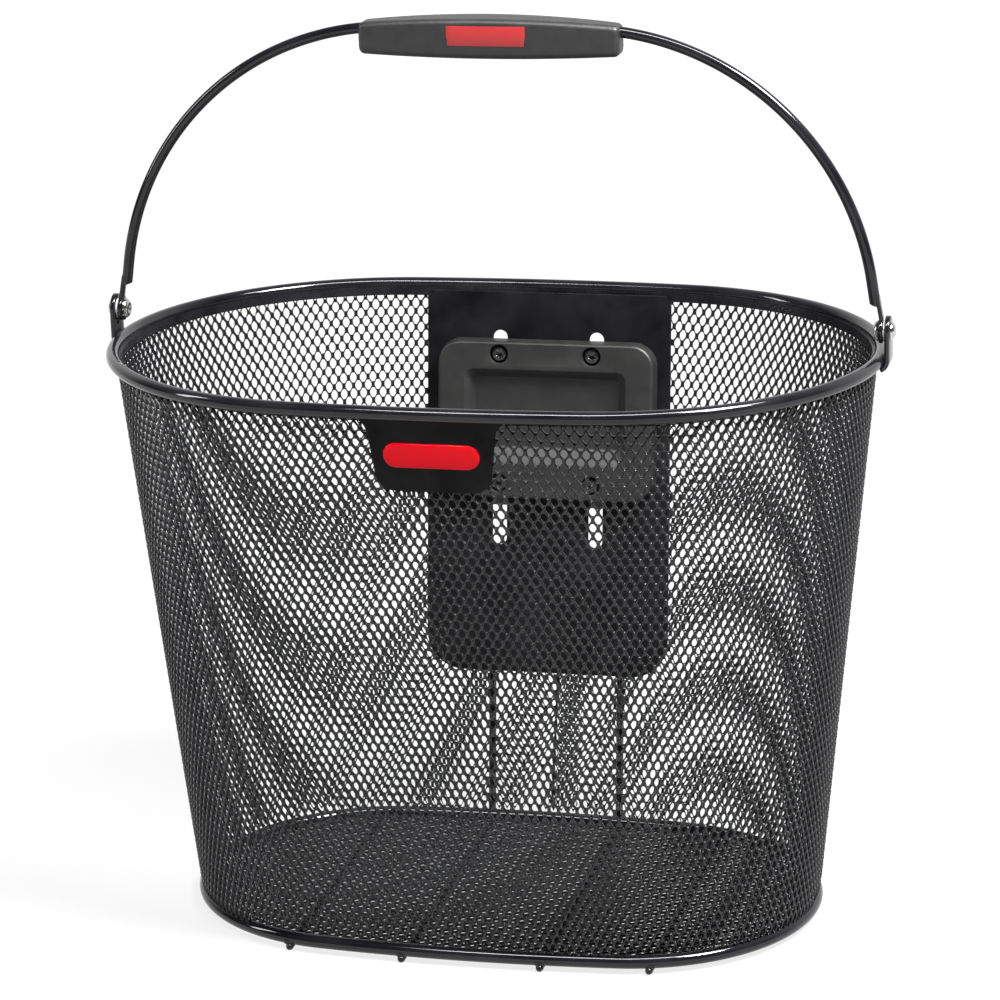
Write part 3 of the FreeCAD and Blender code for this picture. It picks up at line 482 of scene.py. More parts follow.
def build_seam():
    """Where the wall's two ends overlap: a narrow second layer down the middle of the back."""
    rows, place = wall_lattice()
    plate_low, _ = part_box("back_plate")
    middle, half, layer, edge = COLUMNS, 3, 1.15 * MM, 2.6 * MM

    def behind(k, r, lift):
        return place(np.minimum(k, middle) + 1.0 - 1e-6 + np.maximum(k - middle, 0), r, lift + layer)

    tiles = [
        (k, r) for r in rows for k in range(middle - 2 * half, middle - 1)
        if (k + r) % 2 == 0 and WALL_FOOT + edge < place(k, r, 0.0)[2] < plate_low.z + 4 * MM
    ]
    strip = expanded_sheet("wall_mesh_seam", tiles, behind)
    dress(strip, BASKET, "black_mesh", mesh_paint, "wall_mesh")


def build_hem_band():
    """The folded band inside the rim: the mesh under it shows through as rows of low bumps."""
    low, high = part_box("rim_hem_band")
    thick, bump, foot_round = 1.0 * MM, 0.22 * MM, 0.3 * MM
    inside = WALL_OFFSET_HEAD - STRAND_CREST - 0.3 * MM
    steps = 4 * COLUMNS
    share = np.arange(steps) / steps
    heights = np.linspace(high.z, low.z + foot_round, 9)
    outline = []
    for number, height in enumerate(heights):
        wave = np.cos(2 * np.pi * COLUMNS * share + (pi if number % 4 > 1 else 0))
        fade = sin(pi * number / (len(heights) - 1)) ** 2
        outline.append((height, (inside - thick - bump * fade * wave)[:, None]))
    outline += [
        (low.z, inside - thick + foot_round), (low.z, inside - foot_round),
        (low.z + foot_round, inside), (high.z, inside),
    ]
    rows = []
    for height, offset in outline:
        points, outward = oval_points(share, height)
        rows.append(points + outward * offset)
    loops = [[row[k] for row in rows] for k in range(steps)]
    band = loft("rim_hem_band_embossed", loops, closed=True, sharp=60)
    dress(band, BASKET, "black_plate", hem_paint, "rim_hem_band")


def build_floor():
    """The flat mesh of the floor, out to the base ring."""
    low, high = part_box("floor_mesh")
    level = (low.z + high.z) / 2 + 0.2 * MM

    def place(k, r, lift):
        flat = np.stack([r * CELL_HEIGHT / 2, k * CELL_WIDTH / 2, 0 * k], -1)
        return flat + np.asarray(lift)[..., None] * np.array([0, 0, 1.0]) + np.array([0, 0, level])

    ring, _ = oval_points(np.arange(720) / 720, BASE_Z)
    reach = np.hypot(ring[:, 0], ring[:, 1]) - TUBE + 0.6 * MM
    bearing = np.unwrap(np.arctan2(ring[:, 0], -ring[:, 1]))

    def inside(k, r):
        x, y = r * CELL_HEIGHT / 2, k * CELL_WIDTH / 2
        turn = atan2(x, -y) % (2 * pi)
        return hypot(x, y) < np.interp(turn, bearing, reach)

    span_r, span_k = round(high.x / CELL_HEIGHT * 2) + 2, round(high.y / CELL_WIDTH * 2) + 2
    tiles = [
        (k, r) for r in range(-span_r, span_r + 1) for k in range(-span_k, span_k + 1)
        if (k + r) % 2 == 0 and all(inside(k + 0.8 * dk, r + 0.8 * dr) for dk, dr in CORNERS)
    ]
    sheet = expanded_sheet("floor_mesh_sheet", tiles, place, tilt=0.3 * MM)
    dress(sheet, BASKET, "black_mesh", floor_paint, "floor_mesh")


def tube_along(name, points, radius):
    """A round wire through points, with rounded ends."""
    points = [Vector(p) for p in points]
    loops, side = [], None
    for index, point in enumerate(points):
        before, after = points[max(index - 1, 0)], points[min(index + 1, len(points) - 1)]
        ahead = (after - before).normalized()
        side = ahead.orthogonal() if side is None else side - ahead * side.dot(ahead)
        side.normalize()
        up = ahead.cross(side)
        caps = [0.0]
        if index == 0:
            caps = [-1.5, -1.1, -0.6] + caps
        if index == len(points) - 1:
            caps += [0.6, 1.1, 1.5]
        for cap in caps:
            centre = point + ahead * (radius * sin(cap))
            loops.append(round_points(centre, side, up, radius * cos(cap), full_turn(14)))
    return loft(name, loops, sharp=180)


X, Y, Z = Vector((1, 0, 0)), Vector((0, 1, 0)), Vector((0, 0, 1))


def build_wires():
    """Floor wires, and stay wires that turn up the back wall."""
    for word in ("left", "right"):
        low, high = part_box(f"floor_wire_{word}")
        x, radius = (low.x + high.x) / 2, (high.z - low.z) / 2
        ends = [(x, low.y + radius * 0.6, radius), (x, high.y - radius * 0.6, radius)]
        wire = tube_along(f"floor_wire_{word}_round", ends, radius)
        dress(wire, BASKET, "black_wire", wire_paint, f"floor_wire_{word}")
        low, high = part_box(f"stay_wire_{word}")
        x = (low.x + high.x) / 2
        bend = 9 * MM
        head = Vector((x, high.y - radius * cos(SLOPE), high.z - radius))
        foot_y = head.y - (head.z - radius) * tan(SLOPE)
        tangent = bend * tan((pi / 2 - SLOPE) / 2)
        start = Vector((x, low.y + radius * 0.6, radius))
        centre = Vector((x, foot_y - tangent, radius + bend))
        turn = round_points(centre, -Z, Y, bend, [(pi / 2 - SLOPE) * k / 10 for k in range(11)])
        wire = tube_along(f"stay_wire_{word}_bent", [start, *turn, head], radius)
        dress(wire, BASKET, "black_wire", wire_paint, f"stay_wire_{word}")


def build_welds():
    """Beads that join the wires to the base ring, front and back."""
    half_wide, half_high, bury, tip = 3.6 * MM, 2.3 * MM, TUBE * 0.35, 0.01 * MM
    ring, _ = oval_points(np.linspace(0, 1, 2881), BASE_Z)
    boxes = [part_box(f"{kind}_{word}") for kind in ("floor_wire", "stay_wire") for word in ("left", "right")]
    beads = []
    for x, side in [((low.x + high.x) / 2, side) for low, high in boxes for side in (-1, 1)]:
        here = ring[(ring[:, 1] * side > 0)]
        point = here[np.argmin(abs(here[:, 0] - x))]
        loops = []
        for k in range(9):
            turn = pi * k / 8
            across = max(half_wide * sin(turn), tip)
            deep = max(0.62 * across, tip)
            middle = Vector((x, point[1] + side * bury, BASE_Z - bury - half_high * cos(turn)))
            loops.append([middle + X * (across * cos(a)) + Y * (deep * sin(a)) for a in full_turn(16)])
        beads.append(loft("bead", loops, sharp=180))
    dress(join("wire_welds", beads), BASKET, "black_wire", wire_paint)


# ---- back plate and coupling ----

plate_low, plate_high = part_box("back_plate")
PLATE_THICK = 1.5 * MM
SLOT_HEIGHTS, SLOT_HALF_GAP, SLOT_LENGTH, SLOT_WIDTH = (229.0 * MM, 158.8 * MM), 23.7 * MM, 34 * MM, 7 * MM
plate_foot = Vector((0, plate_low.y, plate_low.z + PLATE_THICK * sin(SLOPE)))
PLATE_LENGTH = (plate_high.z - plate_foot.z) / cos(SLOPE)


def on_back(height):
    """Placement on the back plate's inner face at a height: local Y points out of the basket."""
    fall = height - plate_foot.z
    spot = Vector((0, plate_foot.y + fall * tan(SLOPE), height))
    return Matrix.Translation(spot) @ Matrix.Rotation(-SLOPE, 4, "X")


def cut_plate(name, outlines, thick, edge, place):
    """A plate with rounded edges: the first outline is its rim and the others are holes.

    Outlines are lists of (x, z) points; the plate's inner face lies on the placement's plane."""
    curve = bpy.data.curves.new(name, "CURVE")
    curve.dimensions = "2D"
    curve.fill_mode = "BOTH"
    curve.extrude = thick / 2 - edge
    curve.bevel_depth = edge
    curve.bevel_resolution = 2
    curve.offset = -edge
    for outline in outlines:
        spline = curve.splines.new("POLY")
        spline.points.add(len(outline) - 1)
        for point, (x, z) in zip(spline.points, outline):
            point.co = (x, z, 0, 1)
        spline.use_cyclic_u = True
    data = baked(show(name, curve))
    lay = Matrix.Translation((0, thick / 2, 0)) @ Matrix.Rotation(pi / 2, 4, "X")
    data.transform(place @ lay)
    return finish_mesh(name, data, 30)


def slot_outline(x, z, length, width):
    """An upright slot's outline."""
    radius, half = width / 2, (length - width) / 2
    upper = [(x + radius * cos(t), z + half + radius * sin(t))
             for t in (pi * k / 12 for k in range(13))]
    return upper + [(2 * x - px, 2 * z - pz) for px, pz in upper]


def build_back_plate():
    """The steel plate: square shoulders with small notches, a rounded foot and four slots."""
    half, corner, notch = plate_high.x - 0.8 * MM, 18 * MM, 2.2 * MM
    foot = [
        (-half + corner - corner * sin(t), corner - corner * cos(t))
        for t in (pi / 2 * k / 10 for k in range(11))
    ][::-1]
    right = [(-x, z) for x, z in foot][::-1]
    top = PLATE_LENGTH
    shoulders = [(half, top - notch), (half - notch, top - notch), (half - notch, top)]
    outline = foot + right + shoulders + [(-x, z) for x, z in shoulders][::-1]
    slots = [
        slot_outline(x, (height - plate_foot.z) / cos(SLOPE), SLOT_LENGTH, SLOT_WIDTH)
        for height in SLOT_HEIGHTS for x in (-SLOT_HALF_GAP, SLOT_HALF_GAP)
    ]
    plate = cut_plate("back_plate_pressed", [outline, *slots], PLATE_THICK, 0.35 * MM, on_back(plate_foot.z))
    dress(plate, BASKET, "black_plate", plate_paint, "back_plate")


COUNTER_HALF_HEIGHT = 38.7 * MM
counter_low, counter_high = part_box("counter_plate")
COUNTER_MIDDLE = counter_low.z + COUNTER_HALF_HEIGHT * cos(SLOPE)
COUNTER_THICK = 8 * MM
BOLT_HALF_GAP, BOLT_HALF_RISE, BOLT_LIFT = 22.7 * MM, 31.0 * MM / cos(SLOPE), 0.7 * MM
BOLT_SPOTS = [(x * BOLT_HALF_GAP, z * BOLT_HALF_RISE + BOLT_LIFT) for z in (1, -1) for x in (-1, 1)]
POCKET_RADIUS, POCKET_DEPTH = 4.5 * MM, 5.2 * MM
SHOE_BASE, NUT_POCKET_RADIUS, NUT_POCKET_DEPTH = 6 * MM, 4.8 * MM, 2.6 * MM


def build_counter_plate():
    """The moulded plate: soft edges, a recess with a bevelled border and four bolt pockets."""
    place = on_back(COUNTER_MIDDLE)
    half_width, half_height, corner = counter_high.x - 1 * MM, COUNTER_HALF_HEIGHT, 11.5 * MM
    face, soft, draft = -COUNTER_THICK, 1.5 * MM, 0.8 * MM
    sides = [(0.4 * MM, -0.02 * MM), (0.0, -0.4 * MM), (draft, face + soft)]
    for bend in map(radians, (20, 40, 60, 80, 90)):
        sides.append((draft + soft * (1 - cos(bend)), face + soft * (1 - sin(bend))))
    loops = []
    for inset, depth in sides:
        shape = rounded_rectangle(half_width - inset, half_height - inset, corner - inset, 10)
        loops.append(on_plane(shape, place, depth))
    recess_width, recess_height, recess_corner, recess_lift = 39.5 * MM, 22.8 * MM, 4.5 * MM, 1.8 * MM
    foot_ramp, bevel, deep, lip = 1.9 * MM, 4.0 * MM, 4.8 * MM, 0.35 * MM
    for inset, depth in (
        (-lip, 0.0), (-0.35 * lip, 0.12 * lip), (0.3 * lip, 0.6 * lip),
        (bevel - 0.6 * lip, deep - 1.0 * lip), (bevel - 0.1 * lip, deep - 0.4 * lip),
        (bevel + 0.5 * lip, deep - 0.08 * lip), (bevel + 1.2 * lip, deep),
    ):
        raised = foot_ramp * depth / deep
        shape = rounded_rectangle(
            recess_width - inset, recess_height - inset - raised, recess_corner - inset * 0.6, 10)
        loops.append(on_plane([(x, z + recess_lift + raised) for x, z in shape], place, face + depth))
    plate = loft("counter_plate_moulded", loops, sharp=50)
    lip = 0.45 * MM
    pocket = [
        (POCKET_RADIUS + lip, -1 * MM), (POCKET_RADIUS + lip, 0.0),
        (POCKET_RADIUS + 0.35 * lip, 0.25 * lip), (POCKET_RADIUS, lip), (POCKET_RADIUS, POCKET_DEPTH),
    ]
    cutters = [
        lathe("cutter", pocket, place @ Matrix.Translation((x, face, z)), count=40) for x, z in BOLT_SPOTS
    ]
    plate = carve(plate, cutters, "counter_plate_moulded", 42)
    dress(plate, BASKET, "grey_plastic", counter_plastic, "counter_plate")


def build_bolts():
    """Socket cap bolts: a rounded head with a six-sided socket, and a threaded shank."""
    place = on_back(COUNTER_MIDDLE)
    seat, head, radius, shank = -COUNTER_THICK + POCKET_DEPTH, 4 * MM, 3.5 * MM, 2 * MM
    key, socket = 1.5 * MM, 2.2 * MM
    reach, plain, pitch = 15.2 * MM, 3 * MM, 0.7 * MM
    profile = [
        (0.05 * MM, -head + socket + 0.5 * MM), (key, -head + socket, 6), (key, -head + 0.2 * MM, 6),
        (key * 1.25, -head), (radius - 0.9 * MM, -head), (radius - 0.35 * MM, -head + 0.12 * MM),
        (radius, -head + 0.5 * MM), (radius, -0.15 * MM), (radius - 0.2 * MM, 0.0), (shank, 0.0),
    ]
    for n in range(round((reach - plain) / pitch)):
        along = plain + n * pitch
        profile += [(shank, along), (shank - 0.25 * MM, along + pitch / 2)]
    profile.append((shank - 0.3 * MM, reach))
    bolts = [
        lathe("bolt", profile, place @ Matrix.Translation((x, seat, z)), count=48, sharp=40)
        for x, z in BOLT_SPOTS
    ]
    dress(join("coupling_bolts_socket", bolts), BASKET, "bolt_black", bolt_steel, "coupling_bolts")


def build_nuts_and_washers():
    """Flat washers and six-sided nuts in the pockets behind the shoe's base."""
    place = on_back(COUNTER_MIDDLE)
    washer_low = PLATE_THICK + SHOE_BASE - NUT_POCKET_DEPTH
    washer_thick, washer_radius, nut_height, flats = 0.8 * MM, 4.5 * MM, 3.2 * MM, 3.5 * MM
    bottom, top, bore, chamfer = washer_thick, washer_thick + nut_height, 2.05 * MM, flats - 0.1 * MM
    profile = [
        (bore, bottom), (chamfer, bottom), (flats, bottom + 0.5 * MM, 6),
        (flats, top - 0.5 * MM, 6), (chamfer, top), (bore, top),
    ]
    washers, nuts = [], []
    for x, z in BOLT_SPOTS:
        spot = place @ Matrix.Translation((x, washer_low, z))
        washers.append(flat_ring("washer", 2.15 * MM, washer_radius, 0.0, washer_thick, 0.12 * MM, spot))
        nuts.append(lathe("nut", profile, spot, closed=True, count=48, sharp=30))
    dress(join("coupling_washers_flat", washers), BASKET, "zinc", zinc, "coupling_washers")
    dress(join("coupling_nuts_hex", nuts), BASKET, "zinc", zinc, "coupling_nuts")


def build_shoe():
    """The outer half of the coupling: two lipped rails, a catch and stiffening ribs."""
    place = on_back(COUNTER_MIDDLE) @ Matrix.Translation((0, PLATE_THICK, 0))
    thick, rail, lip = SHOE_BASE, 13 * MM, 3.5 * MM
    top = thick + rail
    half_width, half_rail = 46 * MM, 35 * MM
    parts = []

    def block(across, up, wide, tall, corner, near, far, edge):
        spot = place @ Matrix.Translation((across, 0, up))
        parts.append(slab("block", wide, tall, corner, near, far, edge, spot))

    block(0, -3.4 * MM, half_width, 39.5 * MM, 8 * MM, 0.0, thick, 0.8 * MM)
    for side in (-1, 1):
        for wide, near in ((4 * MM, thick - 1 * MM), (7 * MM, top - lip)):
            block(side * (half_width - wide), 0, wide, half_rail, 1.6 * MM, near, top, 0.8 * MM)
    catch = 3.5 * MM
    block(0, catch - half_rail, 12 * MM, catch, 1.2 * MM, thick - 1 * MM, thick + 9 * MM, 0.7 * MM)
    for rib in (-12 * MM, 0.0, 12 * MM):
        block(rib, 6 * MM, 0.9 * MM, 20 * MM, 0.8 * MM, thick - 0.5 * MM, thick + 1.2 * MM, 0.3 * MM)
    pocket, lead = NUT_POCKET_RADIUS, 0.3 * MM
    profile = [
        (pocket, thick - NUT_POCKET_DEPTH), (pocket, thick - lead), (pocket + lead, thick),
        (pocket + lead, thick + 1 * MM),
    ]
    cutters = [
        lathe("cutter", profile, place @ Matrix.Translation((x, 0, z)), count=40) for x, z in BOLT_SPOTS
    ]
    shoe = carve(join("shoe", parts), cutters, "coupling_shoe_moulded", 35, crossing=True)
    dress(shoe, BASKET, "black_plastic", shoe_plastic, "coupling_shoe")


# ---- badge ----

def front_depth(x, height, lift):
    """The y of the front wall's surface at a place across it, lifted outwards."""
    _, b, _, big = oval_sizes(height)
    return (big - b) - sqrt((big + lift) ** 2 - x * x)


def curved_panel(name, rows, columns, half_width, low, high, near, far, edge):
    """A plate that follows the front wall: half_width is a function of height."""
    loops = []
    heights = [low + (high - low) * (0.5 - 0.5 * cos(pi * k / rows)) for k in range(rows + 1)]
    for number, height in enumerate(heights):
        wide = max(half_width(height), edge * 1.5)
        lift_far = far - edge * (0.75 if number in (0, rows) else 0.0)
        flat = wide - edge
        spots = [-wide, 0.3 * edge - wide, *np.linspace(-flat, flat, columns + 1), wide - 0.3 * edge, wide]
        drops = [edge, 0.35 * edge] + [0.0] * (columns + 1) + [0.35 * edge, edge]
        front = [Vector((x, front_depth(x, height, lift_far - d), height)) for x, d in zip(spots, drops)]
        back = [Vector((x, front_depth(x, height, near), height)) for x in reversed(spots)]
        loops.append(front + back)
    return loft(name, loops, sharp=40)


def build_badge():
    """The pressed tab below the rim, and the domed badge on it, left blank."""
    low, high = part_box("badge_plate")
    face = WALL_OFFSET_HEAD + STRAND_CREST + BOND_RISE
    near, far = face - 0.2 * MM, face + 1.5 * MM
    foot_half, head_half, corner, flare = 24.9 * MM, 28.8 * MM, 7.0 * MM, 3.2 * MM

    def half_width(height):
        wide = foot_half + (head_half - foot_half) * (height - low.z) / (high.z - low.z)
        if height < low.z + corner:
            wide -= corner - sqrt(max(corner ** 2 - (low.z + corner - height) ** 2, 0.0))
        return wide + flare * exp((height - high.z) / (1.8 * MM))

    head = rim_low.z + 1.5 * MM
    plate = curved_panel("badge_plate_pressed", 44, 30, half_width, low.z, head, near, far, 1.0 * MM)
    dress(plate, BASKET, "black_plate", tab_paint, "badge_plate")
    low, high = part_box("badge")
    middle, half_height, half_length = (low.z + high.z) / 2, (high.z - low.z) / 2, (high.x - low.x) / 2
    loops = []
    dome = ((0.0, -0.3), (0.0, 0.55), (0.12, 0.85), (0.4, 1.1), (0.9, 1.25), (1.8, 1.36), (3.2, 1.45))
    for inset, lift in dome:
        radius = half_height - inset * MM
        shape = rounded_rectangle(half_length - inset * MM, radius, radius, 12)
        loops.append([Vector((x, front_depth(x, middle + z, far + lift * MM), middle + z)) for x, z in shape])
    badge = loft("badge_domed", loops, sharp=60)
    dress(badge, BASKET, "red_badge", badge_red, "badge")


# ---- hinges ----

rivet_low, rivet_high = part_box("rivet_right")
PIVOT_Z = (rivet_low.z + rivet_high.z) / 2


def strap(name, spine, thick, edge, flip):
    """A flat strap in the XZ plane: its spine is (point, thickness direction, half width)."""
    loops = []
    for point, out, half in spine:
        soft = min(edge, half * 0.9)
        shape = rounded_rectangle(half, thick / 2, soft, 3)
        middle = point + out * (thick / 2)
        loops.append([middle + Y * across + out * depth for across, depth in shape])
    if flip:
        loops = [[Vector((-p.x, p.y, p.z)) for p in loop] for loop in loops]
    return loft(name, loops, sharp=40)


def build_hinges():
    """Ears hooked under the rim, rivets through them, and washers beside the bail's eyes."""
    ear_low, ear_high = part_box("ear_right")
    thick, half = 2.2 * MM, (ear_high.y - ear_low.y) / 2
    inner = ear_high.x - thick
    rim_x = rim_high.x - TUBE
    hug = inner - rim_x
    spine = []
    for k in range(9):
        turn = radians(-72 + 72 * k / 8)
        out = Vector((cos(turn), 0, sin(turn)))
        spine.append((Vector((rim_x, 0, RIM_Z)) + out * hug, out, half - (0.4 * MM if k == 0 else 0)))
    for k in range(12):
        turn = radians(90 * k / 11.5)
        spine.append((Vector((inner, 0, PIVOT_Z + half * sin(turn))), X, half * cos(turn)))
    inner_seat, outer_seat = 174.9 * MM, ear_high.x
    head, dome, outer_head, shank = 4.7 * MM, inner_seat - rivet_low.x, 4.0 * MM, 2.0 * MM
    for side, word in ((1, "right"), (-1, "left")):
        ear = strap(f"ear_{word}_forged", spine, thick, 0.7 * MM, side < 0)
        dress(ear, BASKET, "gloss_black_tube", gloss_tube, f"ear_{word}")
        turn = Matrix(((0, side, 0), (1, 0, 0), (0, 0, 1))).to_4x4()
        axis = Matrix.Translation((0, 0, PIVOT_Z)) @ turn
        profile = [(0.02 * MM, inner_seat - dome * 0.62)]
        profile += [(r * head, inner_seat - dome * h) for r, h in (
            (0.22, 0.60), (0.34, 0.66), (0.42, 0.92), (0.50, 1.0), (0.62, 0.97), (0.78, 0.82), (0.90, 0.58),
            (0.97, 0.32), (1.0, 0.08), (0.96, 0.0))]
        profile += [(shank, inner_seat), (shank, outer_seat)]
        profile += [(r * outer_head, outer_seat + dome * h) for r, h in (
            (0.96, 0.0), (1.0, 0.1), (0.94, 0.4), (0.8, 0.68), (0.55, 0.88), (0.25, 0.98), (0.01, 1.0))]
        rivet = lathe(f"rivet_{word}_domed", profile, axis, count=40, sharp=50)
        dress(rivet, BASKET, "rivet_bright", rivet_steel, f"rivet_{word}")
        near, far = (corner.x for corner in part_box("hinge_washer_right"))
        washer = flat_ring(f"hinge_washer_{word}_flat", 2.05 * MM, 5.0 * MM, near, far, 0.15 * MM, axis)
        dress(washer, BASKET, "washer_nylon", nylon, f"hinge_washer_{word}")


# ---- bail and grip ----

_, bail_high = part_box("bail_rod")
ROD = 2.5 * MM
CROWN_RADIUS, SIDE_RADIUS = 632.0 * MM, 131.6 * MM
CROWN_ANGLE, END_ANGLE, LEG = 5.05, 81.5, 11 * MM
CROWN_Z = bail_high.z - CROWN_RADIUS
TONGUE_THICK, TONGUE_HALF, TONGUE_BEND_Z, EYE = 1.8 * MM, 2.5 * MM, 284.5 * MM, 5.6 * MM


def heading(turn):
    """The direction in the XZ plane at an angle from upright towards +X."""
    return Vector((sin(turn), 0, cos(turn)))


def bail_line(inset):
    """The bail's right half from its crown down, as points and outward directions."""
    near, steps = radians(CROWN_ANGLE), 96
    crown = Vector((0, 0, CROWN_Z))
    side = crown + heading(near) * (CROWN_RADIUS - SIDE_RADIUS)
    line = []
    for k in range(13):
        out = heading(near * k / 12)
        line.append((crown + out * (CROWN_RADIUS - inset), out))
    for k in range(1, steps + 1):
        out = heading(near + radians(END_ANGLE - CROWN_ANGLE) * k / steps)
        line.append((side + out * (SIDE_RADIUS - inset), out))
    point, out = line[-1]
    down = Vector((out.z, 0, -out.x))
    return line + [(point + down * (LEG * k / 4), out) for k in range(1, 5)]


def build_bail():
    """The round rod, cut at a slant at each end, where a flat tongue carries on to the rivet."""
    half = bail_line(ROD)
    line = [(Vector((-p.x, 0, p.z)), Vector((-o.x, 0, o.z))) for p, o in half[:0:-1]] + half
    loops = []
    for index, (point, out) in enumerate(line):
        ring = round_points(point, out, Y, ROD, full_turn(20))
        if index in (0, len(line) - 1):
            down = Vector((-out.z, 0, out.x)) if index == 0 else Vector((out.z, 0, -out.x))
            ring = [spot + down * (1.2 * MM * cos(turn)) for spot, turn in zip(ring, full_turn(20))]
        loops.append(ring)
    parts = [loft("bail_rod_bent", loops, sharp=50)]
    end, out = bail_line(0.0)[-1]
    down = Vector((out.z, 0, -out.x))
    start = end - down * 4 * MM - out * 0.15 * MM
    bend = Vector((bail_high.x, 0, TONGUE_BEND_Z))
    spine = [(start.lerp(bend, share), out, TONGUE_HALF * 0.9) for share in (0.0, 0.33, 0.66)]
    spine.append((bend, X, TONGUE_HALF))
    for k in range(13):
        turn = radians(63 - (63 + 88) * k / 12)
        eye = Vector((bail_high.x, 0, PIVOT_Z + EYE * sin(turn)))
        spine.append((eye, X, max(EYE * cos(turn), 0.3 * MM)))
    spine = [(point - out * TONGUE_THICK, out, half) for point, out, half in spine]
    parts += [strap("tongue", spine, TONGUE_THICK, 0.55 * MM, flip) for flip in (False, True)]
    dress(join("bail_rod_forged", parts), BAIL, "gloss_black_tube", gloss_tube, "bail_rod")


grip_low, grip_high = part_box("grip_front_shell")
GRIP_HALF, GRIP_MIDDLE = (grip_high.x - grip_low.x) / 2, (grip_high.x + grip_low.x) / 2
GRIP_DEPTH, GRIP_END_DEPTH = -grip_low.y, 6.2 * MM
GRIP_END_LOW = 399.4 * MM


def grip_section(x):
    """Half depth, bottom and top of the grip at a place along it."""
    share = ((x - GRIP_MIDDLE) / GRIP_HALF) ** 2
    depth = GRIP_DEPTH + (GRIP_END_DEPTH - GRIP_DEPTH) * share
    low = grip_low.z + (GRIP_END_LOW - grip_low.z) * share
    cover = grip_high.z - bail_high.z
    top = CROWN_Z + sqrt((CROWN_RADIUS + cover) ** 2 - x * x)
    return depth, low, top


def grip_loop(x, side, inset):
    """Half a section of the grip on one side of its parting plane, from the top round to the foot."""
    depth, low, top = grip_section(x)
    depth, low, top = depth - inset, low + inset, top - inset
    gap, bulge, less = 0.06 * MM, 0.12 * MM, min(inset, 1.2 * MM)
    top_round, low_round = 2.6 * MM - less, 3.2 * MM - less
    quarter = [pi / 2 * k / 7 for k in range(8)]

    def corner(turn, radius, end, upward):
        return depth - radius + radius * cos(turn), end - upward * radius * (1 - sin(turn))

    points = [(gap, top), ((depth - top_round) / 2, top)]
    points += [corner(turn, top_round, top, 1) for turn in quarter[::-1]]
    points.append((depth + bulge, (top + low) / 2))
    points += [corner(turn, low_round, low, -1) for turn in quarter]
    points += [((depth - low_round) / 2, low), (gap, low)]
    return [Vector((x, side * y, z)) for y, z in points]


def build_grip():
    """Two bulged half shells clipped round the rod, each with a plain red inlay."""
    end_round = 2.6 * MM
    half_line = [(x * (GRIP_HALF - end_round) / 14, 0.0) for x in range(15)]
    for k in range(1, 7):
        turn = pi / 2 * k / 6
        half_line.append((GRIP_HALF - end_round * (1 - sin(turn)), end_round * (1 - cos(turn))))
    stations = [(-x, inset) for x, inset in half_line[:0:-1]] + half_line
    for side, word in ((-1, "front"), (1, "rear")):
        loops = [grip_loop(GRIP_MIDDLE + x, side, inset) for x, inset in stations]
        shell = loft(f"grip_{word}_moulded", loops, sharp=50)
        dress(shell, BAIL, "grey_plastic", grip_plastic, f"grip_{word}_shell")
        low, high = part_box(f"grip_label_{word}")
        proud, edge, bulge, root, count = 0.18 * MM, 0.2 * MM, 0.12 * MM, 1 * MM, 24
        loops = []
        for k in range(count + 1):
            x = low.x + (high.x - low.x) * k / count
            depth, _, _ = grip_section(x)
            lift = 0.0 if k in (0, count) else proud
            column = [
                (depth - root, high.z), (depth + lift * 0.6, high.z), (depth + lift, high.z - edge),
                (depth + bulge + lift, (low.z + high.z) / 2),
                (depth + lift, low.z + edge), (depth + lift * 0.6, low.z), (depth - root, low.z),
            ]
            loops.append([Vector((x, side * y, z)) for y, z in column])
        label = loft(f"grip_label_{word}_inlay", loops, sharp=40)
        dress(label, BAIL, "red_label", label_red, f"grip_label_{word}")


for build in (
    build_tubes, build_wall, build_seam, build_hem_band, build_floor, build_wires, build_welds,
    build_back_plate, build_counter_plate, build_bolts, build_nuts_and_washers, build_shoe,
    build_badge, build_hinges, build_bail, build_grip,
):
    build()


# ---- floor, light and camera ----

def build_stage():
    """A pale floor that glows more evenly white away from the object."""
    half = 14.0
    corners = [(-half, -half, 0), (half, -half, 0), (half, half, 0), (-half, half, 0)]
    data = bpy.data.meshes.new("studio_floor")
    data.from_pydata(corners, [], [(0, 1, 2, 3)])
    floor = show("studio_floor", data)
    made = bpy.data.materials.new("pale_floor")
    made.use_nodes = True
    shader = made.node_tree.nodes["Principled BSDF"]
    shader.inputs["Base Color"].default_value = (0.10, 0.10, 0.10, 1)
    shader.inputs["Roughness"].default_value = 0.9
    shader.inputs["Specular IOR Level"].default_value = 0.0
    shader.inputs["Emission Color"].default_value = (1, 1, 1, 1)
    tree = made.node_tree
    away = tree.nodes.new("ShaderNodeVectorMath")
    away.operation = "LENGTH"
    tree.links.new(tree.nodes.new("ShaderNodeTexCoord").outputs["Object"], away.inputs[0])
    fade = ramp(tree, away.outputs["Value"], 0.5, 2.5, 0.80, 1.06)
    tree.links.new(fade, shader.inputs["Emission Strength"])
    data.materials.append(made)


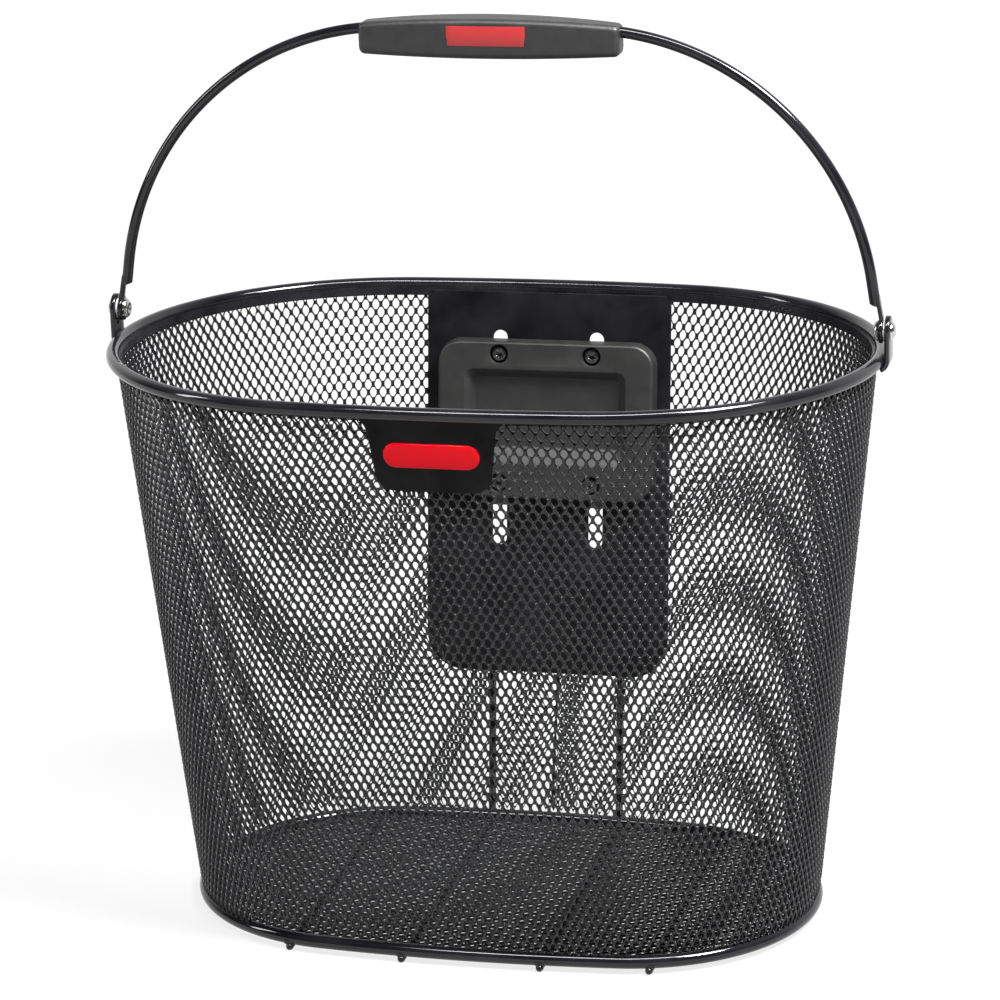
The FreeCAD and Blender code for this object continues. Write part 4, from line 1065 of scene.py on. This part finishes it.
def soft_box(name, place, aim, width, height, power):
    """A rectangular lamp that faces a point."""
    lamp = bpy.data.lights.new(name, "AREA")
    lamp.shape = "RECTANGLE"
    lamp.size, lamp.size_y = width, height
    lamp.energy = power
    holder = show(name, lamp)
    holder.location = place
    holder.rotation_mode = "QUATERNION"
    holder.rotation_quaternion = (Vector(aim) - Vector(place)).to_track_quat("-Z", "Y")


def build_lights():
    """A white sweep behind the object, dark towards the front, and three soft boxes."""
    world = bpy.data.worlds.new("studio")
    world.use_nodes = True
    tree = world.node_tree
    split = tree.nodes.new("ShaderNodeSeparateXYZ")
    tree.links.new(tree.nodes.new("ShaderNodeTexCoord").outputs["Generated"], split.inputs["Vector"])
    both = tree.nodes.new("ShaderNodeMath")
    both.operation = "MULTIPLY"
    for number, (side, *span) in enumerate((("Y", 0.05, 0.75, 0.06, 1.0), ("Z", 0.35, 0.95, 1.0, 0.35))):
        tree.links.new(ramp(tree, split.outputs[side], *span, "SMOOTHSTEP"), both.inputs[number])
    tree.links.new(both.outputs["Value"], tree.nodes["Background"].inputs["Strength"])
    tree.nodes["Background"].inputs["Color"].default_value = (1, 1, 1, 1)
    bpy.context.scene.world = world
    aim = (0, 0, 0.2)
    soft_box("overhead", (0.3, -0.45, 1.6), aim, 2.0, 0.22, 46)
    soft_box("right", (1.0, -0.4, 1.6), aim, 0.55, 0.55, 95)
    soft_box("left", (-1.5, -0.5, 0.9), aim, 0.2, 0.8, 9)


def build_camera():
    """The camera, by its azimuth, elevation and roll about a point."""
    azimuth, elevation, roll = (radians(x) for x in (13.6907, 16.2552, -1.5553))
    aim = Vector((-11.457, 50.088, 178.498)) * MM
    distance, lens = 1828.364 * MM, 139.6
    data = bpy.data.cameras.new("camera")
    data.lens, data.sensor_width = lens, 36.0
    data.clip_start, data.clip_end = 0.05, 60.0
    camera = show("camera", data)
    turn = Matrix.Rotation(azimuth, 4, "Z") @ Matrix.Rotation(pi / 2 - elevation, 4, "X")
    turn = turn @ Matrix.Rotation(roll, 4, "Z")
    camera.matrix_world = Matrix.Translation(aim) @ turn @ Matrix.Translation((0, 0, distance))
    bpy.context.scene.camera = camera


build_stage()
build_lights()
build_camera()
bpy.context.scene.view_settings.view_transform = "Standard"
